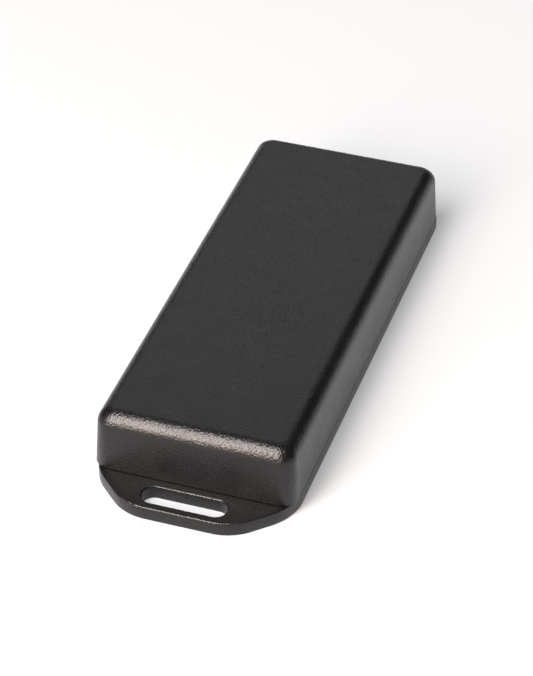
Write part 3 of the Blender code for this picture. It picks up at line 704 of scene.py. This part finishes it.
def board():
    """Laminate with a skin of solder mask on both faces, drilled for screws and pins."""
    low, high = BOARD_LOW.z, BOARD_HIGH.z
    drills = [circle(SCREW_HOLE, 32, x, y) for x, y, _ in BOARD_SCREWS]
    drills += [circle(PIN_HOLE, 16, x, y) for x, y, _ in PIN_FEET]
    cuts = [prism(hole, low - OVERRUN, high + OVERRUN) for hole in drills]
    for name, inset, foot, top, material, *nodes in (
            ("board_core", 0.0, low + SKIN, high - SKIN, "cut_laminate", "circuit_board"),
            ("board_top_mask", MASK_INSET, high - SKIN, high, "solder_mask"),
            ("board_bottom_mask", MASK_INSET, low, low + SKIN, "solder_mask")):
        on_base(name, prism(board_outline(inset), foot, top), material, "board_laminate", *nodes, cuts=cuts)
    rings = [hoop(circle(SCREW_LAND, 32, x, y), circle(SCREW_HOLE + 0.1 * MM, 32, x, y), high, high + FOIL)
             for x, y, _ in BOARD_SCREWS]
    rings += [hoop(circle(PIN_LAND, 16, x, y), circle(PIN_HOLE, 16, x, y), foot, foot + FOIL)
              for x, y, _ in PIN_FEET for foot in (high, low - FOIL)]
    on_base("board_rings", rings, "tin_plating")


def strip(path, width, low, high):
    """Flat strip of even width along a path, mitred at its bends."""
    left, right = [], []
    for index, point in enumerate(path):
        sides = []
        for first, second in ((index - 1, index), (index, index + 1)):
            if first >= 0 and second < len(path):
                run = Vector(path[second]) - Vector(path[first])
                sides.append(Vector((-run.y, run.x)).normalized())
        across = sides[0] + sides[-1]
        across *= width / (2 * across.dot(sides[0]))
        left.append((point[0] + across.x, point[1] + across.y))
        right.append((point[0] - across.x, point[1] - across.y))
    return prism(left + right[::-1], low, high)


def route(start, end, share=0.5):
    """Path from start to end: straight along Y, across at 45 degrees, and straight on."""
    (x0, y0), (x1, y1) = start, end
    across, along = x1 - x0, y1 - y0
    slant = min(abs(across), abs(along))
    straight = along - math.copysign(slant, along)
    bend = (x0, y0 + straight * share)
    leave = (x0 + math.copysign(slant, across), bend[1] + along - straight)
    path = [start]
    for point in (bend, leave, end):
        if math.dist(point, path[-1]) > 0.05 * MM:
            path.append(point)
    return path


def on_board(x, distance):
    """Place from X and the distance from the near wall, both in millimetres."""
    return x * MM, NEAR_WALL + distance * MM


def processor_tracks():
    """Tracks that fan out from the processor, as (path, width) pairs, and their vias."""
    paths, vias = [], []
    near_ends = [(-4.3, 38.2), (-3.0, 36.0), (-1.9, 37.6), (0.0, 36.0), (1.2, 37.4), (3.0, 36.0), (4.3, 37.9),
                 (6.0, 36.0)]
    for column, end in enumerate(near_ends):
        offset = column - 3.5
        x = offset * LEAD_PITCH
        paths.append((route(on_board(x, 42.4), on_board(*end), 0.55 - 0.12 * abs(offset)), TRACK))
        if end[1] > 36.0:
            vias.append(on_board(*end))
        if abs(offset) > 1:
            far_end = on_board(offset * 1.15, 52.8 + 0.45 * abs(offset))
            paths.append((route(on_board(x, 51.6), far_end, 0.1), TRACK))
            vias.append(far_end)
    for row in range(4):
        lift = (row - 1.5) * LEAD_PITCH
        left_end = on_board(-6.3, 47 + lift * 1.7)
        paths.append(([on_board(-4.6, 47 + lift), on_board(-5.2, 47 + lift), left_end], TRACK))
        vias.append(left_end)
        start, end = on_board(4.6, 47 + lift), on_board(6.0, 46.1 + (row - 1.5) * 0.6)
        paths.append(([point[::-1] for point in route(start[::-1], end[::-1], 0.3)], TRACK))
    return paths, vias


def connector_tracks():
    """Tracks from the two connectors, as (path, width) pairs, and their vias."""
    paths, vias = [], []
    for column in range(3):
        (x, foot, _), inner = PIN_FEET[column], PIN_FEET[column + 3][:2]
        lane = x - PITCH / 2
        end, inner_end = on_board(2.6 + 1.9 * column, 66.6), on_board(3.55 + 1.9 * column, 66.6)
        dodge = [(x, foot), (lane, foot - PITCH / 2)]
        paths.append((dodge + route((lane, PIN_FEET[3][1] - PITCH / 2), end, 0.3), TRACK))
        paths.append((route(inner, inner_end, 0.55), TRACK))
        vias += [end, inner_end]
    for contact in range(-2, 3):
        end = on_board(-5.4 + contact * 1.05, 75.0)
        paths.append((route(on_board(-5.4 + contact * 0.8, 77.4), end), 0.3))
        vias.append(end)
    return paths, vias


def power_tracks():
    """Wide tracks and those of the lamps, the resistors and the button."""
    runs = [((-11.2, 60.8), (-11.5, 57.2), 0.5, 0.6), ((-6.2, 63.0), (-4.6, 57.6), 0.3, 0.8),
            ((11.5, 54.0), (11.9, 38.0), 0.5, 0.3), ((-11.5, 54.0), (-12.9, 36.0), 0.1, 0.3),
            ((12.4, 34.0), (10.8, 12.0), 0.4, 1.2), ((-12.4, 33.0), (-9.0, 10.0), 0.5, 1.2),
            ((-4.4, 17.8), (-7.4, 31.0), 0.2, 0.3)]
    ends = [(-4.6, 57.6), (11.9, 38.0), (-12.9, 36.0), (-7.4, 31.0)]
    for index, x in enumerate(RESISTOR_X):
        end = (-2.4 + 1.6 * index, 20.5 + index)
        runs.append(((x, 33.0), end, 0.3, TRACK))
        ends.append(end)
    paths = [(route(on_board(*start), on_board(*end), share), width) for start, end, share, width in runs]
    return paths, [on_board(*end) for end in ends]


def tracks():
    """Copper under the solder mask, with the vias where it changes side."""
    top = BOARD_HIGH.z
    copper, rims = [], []
    for paths, vias in (processor_tracks(), connector_tracks(), power_tracks()):
        copper += [strip(path, width * MM, top, top + FOIL * 0.6) for path, width in paths]
        rims += [hoop(circle(VIA_RIM, 12, *via), circle(VIA_BORE, 12, *via), top, top + FOIL) for via in vias]
    on_base("board_tracks", copper, "masked_copper", "board_laminate")
    on_base("board_vias", rims, "masked_copper", "board_laminate")


# ---------------------------------------------------------------- parts on the board
def gull_lead(width, reach, height):
    """Lead that leaves a chip's side, bends down and lies on its pad, pointing to -Y."""
    metal, rooted = 0.13 * MM, 0.2 * MM
    profile = [(rooted, height + metal), (-0.28 * reach, height + metal),
               (-0.36 * reach, height + metal * 0.7), (-0.56 * reach, metal * 1.25), (-0.64 * reach, metal),
               (-reach, metal), (-reach, 0.0), (-0.58 * reach, 0.0), (-0.48 * reach, metal * 0.3),
               (-0.28 * reach, height), (rooted, height)]
    return side_prism(profile, width / 2)


def moulded_body(width, depth, low, high):
    """Moulded chip body: drafted above and below its parting line, with broken edges."""
    edge = 0.09 * MM
    rings = []
    for inset, z in ((edge + 0.1 * MM, low), (0.08 * MM, low + edge), (0.0, low + (high - low) * 0.45),
                     (0.1 * MM, high - edge), (edge + 0.13 * MM, high)):
        corners = rectangle(width / 2 - inset, inset - depth / 2, depth / 2 - inset, 0.16 * MM)
        rings.append(level(rounded(corners, 3), z))
    return loft(rings)


def solder_dab(half_x, half_y, height):
    """Low mound of solder."""
    return loft([[(x * half_x * share, y * half_y * share, height * rise) for x, y in circle(1.0, 10)]
                 for share, rise in ((1.0, 0.0), (0.92, 0.35), (0.7, 0.75), (0.35, 1.0))])


def leaded_chip(node, rows, reach, dimple=0.0):
    """Moulded chip on gull-wing leads; its rows of leads are (side, count, pitch, width) in millimetres."""
    place, size = spot(node)
    cuts = []
    if dimple:
        mark = turned([(dimple * 0.6, size.z - 0.06 * MM), (dimple, size.z + 0.04 * MM)], 16)
        inward = 2.6 * dimple
        cuts.append(stand(moved(mark, inward - size.x / 2, inward - size.y / 2), place))
    body = moulded_body(size.x, size.y, 0.06 * MM, size.z)
    on_base(f"{node}_body", stand(body, place), "moulded_epoxy", "chip_epoxy", node, cuts=cuts)
    metal, pads, solder = [], [], []
    for side, count, pitch, width_mm in rows:
        edge, width = -(size.x if side % 2 else size.y) / 2, width_mm * MM
        lead = gull_lead(width, reach, size.z * 0.42)
        pad = block(width * 1.3, reach * 0.75, 0.0, FOIL)
        dab = solder_dab(width * 0.55, reach * 0.2, 0.16 * MM)
        for index in range(count):
            along = (index - (count - 1) / 2) * pitch * MM
            metal.append(stand(moved(lead, along, edge), place, side, -LEAD_DROP))
            pads.append(stand(moved(pad, along, edge - reach * 0.72), place, side, -STANDOFF))
            solder.append(stand(moved(dab, along, edge - reach * 0.96), place, side, FOIL - STANDOFF))
    on_base(f"{node}_leads", metal, "tin_plating")
    on_base(f"{node}_pads", pads, "tin_plating")
    on_base(f"{node}_solder", solder, "solder", sharp=LEAD_SOLDER_SHARP)


def capped_chip(node, slot, material, cap, glazed=False):
    """Two-terminal part: a body between plated end caps, soldered to two pads."""
    place, size = spot(node)
    turns = 0 if size.y >= size.x else 1
    width, length = sorted((size.x, size.y))
    body = block(width - 0.06 * MM, length - 0.3 * MM, 0.0, size.z - 0.04 * MM, 0.05 * MM)
    on_base(f"{node}_body", stand(body, place, turns), material, slot, node)
    if glazed:
        glaze = block(width - 0.2 * MM, length - 2.3 * cap, size.z - 0.06 * MM, size.z, 0.02 * MM)
        on_base(f"{node}_glaze", stand(glaze, place, turns), "resistor_glaze", "chip_epoxy")
    caps = both_ends(block(width, cap, 0.0, size.z, 0.08 * MM), (length - cap) / 2)
    pads = both_ends(block(width * 1.15, cap * 2.2, 0.0, FOIL), length / 2 + cap * 0.3, -STANDOFF)
    pads += both_ends(solder_dab(width * 0.46, cap * 0.8, size.z * 0.42), length / 2 + cap * 0.1,
                      FOIL - STANDOFF)
    on_base(f"{node}_caps", stand(together(caps), place, turns), "tin_plating")
    on_base(f"{node}_pads", stand(together(pads), place, turns), "solder", sharp=SOLDER_SHARP)


def tantalum(node):
    """Moulded tantalum capacitor with folded end leads and a polarity bar."""
    place, size = spot(node)
    half, thick = size.y / 2, 0.1 * MM
    body = moulded_body(size.x, size.y - 2 * thick, thick, size.z)
    on_base(f"{node}_body", stand(body, place), "tantalum_moulding", "capacitor_tantalum", node)
    bar = moved(block(size.x - 0.5 * MM, 0.5 * MM, size.z - 0.02 * MM, size.z + 0.012 * MM), 0.0,
                half - 0.75 * MM)
    on_base(f"{node}_polarity_bar", stand(bar, place), "moulded_epoxy", "capacitor_tantalum")
    riser, tongue, rise = 0.12 * MM - half, 0.9 * MM - half, size.z * 0.55
    lead = side_prism([(riser, rise), (-half, rise), (-half, 0.0), (tongue, 0.0), (tongue, thick),
                       (riser, thick)], size.x * 0.36)
    pad = moved(block(size.x * 0.8, 1.3 * MM, 0.0, FOIL), 0.0, -half - 0.05 * MM, -STANDOFF)
    metal = [stand(solid, place, turns) for turns in (0, 2) for solid in (lead, pad)]
    on_base(f"{node}_leads", metal, "tin_plating")


def lamp(node):
    """Small surface lamp: a white base with end caps and a clear domed lens."""
    place, size = spot(node)
    waist, half = size.z * 0.45, size.y / 2
    base = block(size.x, size.y - 0.1 * MM, 0.0, waist, 0.04 * MM)
    on_base(f"{node}_base", stand(base, place), "white_plastic", "connector_plastic", node)
    lens = block(size.x * 0.94, size.y * 0.6, waist, size.z, 0.18 * MM, 5)
    on_base(f"{node}_lens", stand(lens, place), "clear_lens", "lamp_lens")
    metal = both_ends(block(size.x, 0.36 * MM, 0.0, size.z * 0.52, 0.05 * MM), half - 0.18 * MM)
    metal += both_ends(solder_dab(size.x * 0.5, 0.4 * MM, size.z * 0.4), half + 0.05 * MM, -STANDOFF)
    on_base(f"{node}_caps", stand(together(metal), place), "solder", sharp=SOLDER_SHARP)


def crystal():
    """Drawn metal can on its rim, over a moulded base with two leads."""
    place, size = spot("crystal_can")
    foot, base = spot("crystal_base")
    seat, top = foot[2] + base.z, place[2] + size.z
    edge, rim, lip = 0.5 * MM, 0.17 * MM, 0.04 * MM

    def ring(z, inset):
        half, long = size.x / 2 - inset, size.y / 2 - inset
        return level(rounded(rectangle(half, -long, long, half - 0.01 * MM), 16), z)

    rings = [ring(seat, lip - rim), ring(seat + lip, -rim), ring(seat + 0.32 * MM, -rim),
             ring(seat + 0.36 * MM, lip - rim), ring(seat + 0.36 * MM, 0.1 * MM), ring(seat + 0.5 * MM, 0.0)]
    rings += [ring(top - edge + rise, inset) for inset, rise in arc_rings(edge, 6)]
    rings.append(ring(top - 0.05 * MM, edge + 0.35 * MM))
    on_base("crystal_can_drawn", moved(loft(rings), *place[:2]), "tin_plated_sheet", "tinned_metal",
            "crystal_can")
    moulded, groove = (block(base.x, base.y, 0.0, base.z, 0.12 * MM),
                       block(1.3 * MM, 2 * base.y, -OVERRUN, 0.16 * MM))
    on_base("crystal_base_moulded", stand(moulded, foot), "glass_filled_nylon", "connector_plastic",
            "crystal_base", cuts=[stand(groove, foot)])
    metal = both_ends(block(0.8 * MM, 2.6 * MM, 0.0, 0.12 * MM), base.y / 2 - 0.7 * MM, -0.04 * MM)
    metal += both_ends(solder_dab(0.7 * MM, 0.7 * MM, 0.2 * MM), base.y / 2 + 0.5 * MM, -0.08 * MM)
    on_base("crystal_leads", stand(together(metal), foot), "solder", sharp=SOLDER_SHARP)


def silkscreen():
    """White outlines round the parts and a dot at each first pin; there is no lettering."""
    top, margin, line = BOARD_HIGH.z, 0.35 * MM, 0.15 * MM
    ink = top + FOIL * 0.8
    marks = []
    for node in SILK_NODES:
        (x, y, _), size = spot(node)
        outer, inner = ([(x + px, y + py) for px, py, _ in rectangle(half_x, -half_y, half_y)]
                        for half_x, half_y in ((size.x / 2 + grow, size.y / 2 + grow)
                                               for grow in (margin, margin - line)))
        marks.append(hoop(outer, inner, top, ink))
    for node, outward in SILK_DOTS.items():
        (x, y, _), size = spot(node)
        dot = circle(0.25 * MM, 12, x - size.x / 2 - 0.3 * MM, y - size.y / 2 - outward)
        marks.append(prism(dot, top, ink))
    on_base("board_legend", marks, "legend_ink", "board_laminate")


def board_parts():
    """Every part that is soldered to the board, apart from the connectors and the button."""
    leaded_chip("microcontroller", [(side, 8, 0.8, 0.34) for side in range(4)], 1.0 * MM, 0.35 * MM)
    for number in (1, 2):
        leaded_chip(f"level_shifter_{number}", [(side, 8, 0.6, 0.24) for side in (1, 3)], 0.7 * MM, 0.3 * MM)
    leaded_chip("voltage_regulator", [(0, 3, 2.3, 0.7), (2, 1, 2.3, 3.0)], 1.45 * MM)
    leaded_chip("power_switch_transistor", [(0, 2, 1.9, 0.42), (2, 1, 1.9, 0.42)], 0.6 * MM)
    for number in range(1, 5):
        capped_chip(f"ceramic_capacitor_{number}", "capacitor_ceramic", "fired_ceramic", 0.4 * MM)
        capped_chip(f"resistor_{number}", "chip_epoxy", "alumina", 0.35 * MM, glazed=True)
    capped_chip("ferrite_bead", "chip_epoxy", "ferrite", 0.35 * MM)
    capped_chip("resettable_fuse", "fuse_polymer", "fuse_polymer", 0.55 * MM)
    for number in (1, 2):
        tantalum(f"tantalum_capacitor_{number}")
        lamp(f"status_lamp_{number}")
    crystal()
    silkscreen()


# ---------------------------------------------------------------- connectors and button
def usb_outline(size, inset):
    """Mouth of the receptacle in X and Z: a wide upper part on a narrower lower part, corners rounded."""
    half, low_half = size.x / 2 - inset, size.x / 2 - 1.0 * MM - inset * 0.6
    waist, roof = 1.3 * MM + inset * 0.4, size.z - inset
    corner = max(0.6 * MM - inset, 0.15 * MM)
    return rounded([(-low_half, inset, corner), (low_half, inset, corner), (half, waist, corner),
                    (half, roof, corner), (-half, roof, corner), (-half, waist, corner)], 5)


def usb_receptacle():
    """Folded metal shell with a rolled mouth, spring tongues, a seam and four solder tabs."""
    place, size = spot("usb_shell")
    half, sheet, roll, spring_x = size.y / 2, 0.3 * MM, 0.12 * MM, 1.9 * MM
    rings = [(0.0, -half), (0.0, half - roll), (roll * 0.3, half - roll * 0.3), (roll, half),
             (sheet - roll * 0.5, half), (sheet + 0.05 * MM, half - 0.5 * MM), (sheet, half - 1.0 * MM),
             (sheet, -half)]
    tube = loft([[(x, y, z) for x, z in usb_outline(size, inset)] for inset, y in rings], closed=True)
    window = block(1.1 * MM, 3.6 * MM, size.z - 1.2 * sheet, size.z + OVERRUN)
    cuts = at_each(window, [(-spring_x, 4.9 * MM - half), (spring_x, 4.9 * MM - half)])
    cuts.append(moved(block(0.08 * MM, 2 * size.y, -OVERRUN, 1.5 * sheet), 0.0, half))
    on_base("usb_shell_folded", stand(tube, place), "tin_plated_sheet", "tinned_metal", "usb_shell",
            cuts=[stand(together(cuts), place)])
    dips = [0.02 * MM + 0.28 * MM * math.sin(math.pi * step / 6) ** 2 for step in range(7)]
    upper = [(3.2 * MM - half + 0.5 * MM * step, size.z - dip) for step, dip in enumerate(dips)]
    spring = side_prism(upper + [(y, z - 0.2 * MM) for y, z in upper[::-1]], 0.4 * MM)
    tab = block(1.0 * MM, 1.5 * MM, -0.08 * MM, 0.2 * MM, 0.05 * MM)
    dab = solder_dab(0.75 * MM, 1.0 * MM, 0.3 * MM)
    springs, dabs = [], []
    for side in (-1, 1):
        springs.append(moved(spring, side * spring_x))
        for y in (1.5 * MM - half, 5.4 * MM - half):
            springs.append(moved(tab, side * (size.x / 2 - 0.6 * MM), y))
            dabs.append(stand(moved(dab, side * (size.x / 2 - 0.25 * MM), y), place, 0, -STANDOFF))
    on_base("usb_springs_and_tabs", stand(together(springs), place), "tin_plated_sheet")
    dab = solder_dab(0.25 * MM, 0.45 * MM, 0.22 * MM)
    for number in range(1, 6):
        low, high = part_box(f"usb_contact_{number}")
        dabs.append(moved(dab, (low.x + high.x) / 2, low.y + 0.2 * MM, place[2] - STANDOFF))
    on_base("usb_solder", dabs, "solder", sharp=SOLDER_SHARP)


def bent_pin(tip, top, tail, foot):
    """Square pin in the Y-Z plane: pointed tip, rounded elbow and pointed tail."""
    width, point = 2 * PIN_HALF, 0.3 * MM
    inner, outer = 0.35 * MM, 0.35 * MM + width
    turns = [math.pi / 2 + math.pi / 2 * step / 6 for step in range(7)]
    elbow, hollow = ([(tail + outer + radius * math.cos(turn), top - outer + radius * math.sin(turn))
                      for turn in turns] for radius in (outer, inner))
    profile = [(tip, top - width * 0.7), (tip, top - width * 0.3), (tip - point, top)] + elbow
    profile += [(tail, foot + point), (tail + width * 0.3, foot), (tail + width * 0.7, foot),
                (tail + width, foot + point)]
    return side_prism(profile + hollow[::-1] + [(tip - point, top - width)], PIN_HALF)


def target_connector():
    """Moulded header block with a bore for each bent pin."""
    place, size = spot("target_header_block")
    notch = turned([(0.32 * MM, -OVERRUN), (0.32 * MM, 2 * size.z)], 4)
    cuts = [stand(moved(notch, column * size.x / 3, edge * size.y / 2), place)
            for edge in (-1, 1) for column in (-0.5, 0.5)]
    bore = PIN_HALF + 0.04 * MM
    for low, high in PIN_BOXES:
        axis = high.z - PIN_HALF
        hole = block(2 * bore, 2 * size.y, axis - bore, axis + bore)
        cuts.append(moved(hole, (low.x + high.x) / 2, place[1]))
    on_base("target_header_housing", stand(block(size.x, size.y, 0.0, size.z, 0.18 * MM), place),
            "glass_filled_nylon", "connector_plastic", "target_header_block", cuts=cuts)
    for number, (low, high) in enumerate(PIN_BOXES, 1):
        pin = moved(bent_pin(high.y, high.z, low.y, low.z), (low.x + high.x) / 2)
        on_base(f"target_pin_{number}_bent", pin, "gold_plating", "contact_gold", f"target_pin_{number}")
    under = BOARD_LOW.z
    cone = turned([(0.9 * MM, under - FOIL), (0.8 * MM, under - 0.15 * MM), (0.5 * MM, under - 0.45 * MM),
                   (0.47 * MM, under - 0.6 * MM)], 16)
    on_base("target_solder", at_each(cone, PIN_FEET), "solder", sharp=SOLDER_SHARP)


def button():
    """Tactile button: body with four leads, staked lid and the plunger that travels."""
    place, size = spot("button_body")
    side_edge = -size.x / 2
    well = turned([(BUTTON_WELL, BUTTON_FLOOR), (BUTTON_WELL, size.z + OVERRUN)], 48)
    on_base("button_body_moulded", stand(block(size.x, size.y, 0.0, size.z, 0.15 * MM), place),
            "glass_filled_nylon", "connector_plastic", "button_body", cuts=[stand(well, place)])
    lead, dab = gull_lead(0.7 * MM, 1.5 * MM, 0.7 * MM), solder_dab(0.6 * MM, 0.7 * MM, 0.25 * MM)
    metal, dabs = [], []
    for side in (1, 3):
        for along in (-2.25 * MM, 2.25 * MM):
            metal.append(stand(moved(lead, along, side_edge), place, side, -LEAD_DROP))
            dabs.append(stand(moved(dab, along, side_edge - 1.25 * MM), place, side, -STANDOFF))
    on_base("button_leads", metal, "tin_plating")
    on_base("button_solder", dabs, "solder", sharp=SOLDER_SHARP)

    lid_place, lid = spot("button_lid")
    hole = turned([(1.7 * MM, -OVERRUN), (1.7 * MM, lid.z * 0.5), (1.95 * MM, lid.z + 0.2 * MM)], 48)
    on_base("button_lid_pressed", stand(block(lid.x, lid.x, 0.0, lid.z, 0.12 * MM), lid_place),
            "tin_plated_sheet", "tinned_metal", "button_lid", cuts=[stand(hole, lid_place)])
    stake = stand(turned([(0.42 * MM, 0.0), (0.42 * MM, lid.z + 0.05 * MM), (0.34 * MM, lid.z + 0.14 * MM),
                          (0.12 * MM, lid.z + 0.18 * MM)], 20), lid_place)
    corner = 2.3 * MM
    on_base("button_stakes", at_each(stake, [(x, y) for x in (-corner, corner) for y in (-corner, corner)]),
            "glass_filled_nylon", "connector_plastic")

    place, size = spot("button_plunger")
    collar, neck, top, crown = size.x / 2, 1.5 * MM, size.z, 0.3 * MM
    shoulder, edge = lid_place[2] - 0.1 * MM - place[2], 0.08 * MM
    profile = [(collar - edge, 0.0), (collar, edge), (collar, shoulder - edge), (collar - edge, shoulder),
               (neck, shoulder)]
    profile += [(neck - inset, top - crown + rise) for inset, rise in arc_rings(crown, 6)]
    profile += [(neck - crown - 0.25 * MM, top), (neck - crown - 0.35 * MM, top - 0.06 * MM),
                (0.1 * MM, top - 0.09 * MM)]
    plunger = piece("button_plunger_turned", moved(turned(profile, 48), *place), "glass_filled_nylon")
    fit(plunger, "plunger", "connector_plastic", "button_plunger")


# ---------------------------------------------------------------- studio
def camera():
    """Long lens from above the flange end, a little to the right."""
    data = bpy.data.cameras.new("camera")
    made = bpy.data.objects.new("camera", data)
    bpy.context.scene.collection.objects.link(made)
    data.sensor_fit = "VERTICAL"
    data.sensor_height, data.lens = CAMERA_SENSOR, CAMERA_LENS
    data.clip_start, data.clip_end = 0.01, 20.0
    back = -Vector(CAMERA_FORWARD).normalized()
    across = Vector(CAMERA_RIGHT).normalized()
    up = back.cross(across).normalized()
    across = up.cross(back)
    turn = Matrix((across, up, back)).transposed().to_4x4()
    made.matrix_world = Matrix.Translation(CAMERA_PLACE) @ turn
    bpy.context.scene.camera = made


def softbox(name, place, size, watts, colour):
    """Rectangular area light aimed at the middle of the scene."""
    data = bpy.data.lights.new(name, "AREA")
    data.shape = "RECTANGLE"
    data.size, data.size_y = size
    data.energy = watts
    data.color = colour
    made = bpy.data.objects.new(name, data)
    bpy.context.scene.collection.objects.link(made)
    made.location = place
    made.rotation_euler = (-Vector(place)).to_track_quat("-Z", "Y").to_euler()


def studio():
    """White table under a tall key light in front, with weak lights low in front and behind."""
    table = Nodes("table")
    table.shade(Base_Color=table.blend(table.noise(0.3), (0.345, 0.37, 0.38), (0.36, 0.385, 0.395)),
                Roughness=0.9, Emission_Color=(1.0, 1.0, 1.0, 1.0), Emission_Strength=0.33)
    corners = [(x, y, TABLE_TOP) for x, y, _ in rectangle(TABLE_HALF, -TABLE_HALF, TABLE_HALF)]
    piece("table", (corners, [(0, 1, 2, 3)]), "table")
    world = bpy.data.worlds.new("room")
    world.use_nodes = True
    world.node_tree.nodes["Background"].inputs["Color"].default_value = (0.06, 0.06, 0.061, 1.0)
    bpy.context.scene.world = world
    softbox("key", (-0.30, -0.71, 0.77), (0.42, 1.25), 35.5, (1.0, 0.91, 0.885))
    softbox("low front", (-0.21, -1.25, 0.50), (0.6, 0.6), 9.0, (1.0, 0.72, 0.55))
    softbox("behind", (-0.348, 1.045, 0.85), (1.2, 0.8), 2.6, (0.95, 0.97, 1.0))
    bpy.context.scene.view_settings.view_transform = "Standard"


# ---------------------------------------------------------------- everything in place
def build():
    """Make every piece of the looks; seven CAD meshes stay and only get a material."""
    camera()
    studio()
    make_materials()
    cover_shell()
    base_shell()
    screws()
    board()
    tracks()
    board_parts()
    usb_receptacle()
    target_connector()
    button()
    kept = {"usb_tongue": "glass_filled_nylon", "button_dome": "tin_plated_sheet"}
    kept.update({f"usb_contact_{number}": "gold_plating" for number in range(1, 6)})
    for name, material in kept.items():
        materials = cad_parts[name].data.materials
        materials.clear()
        materials.append(LOOKS[material])


build()
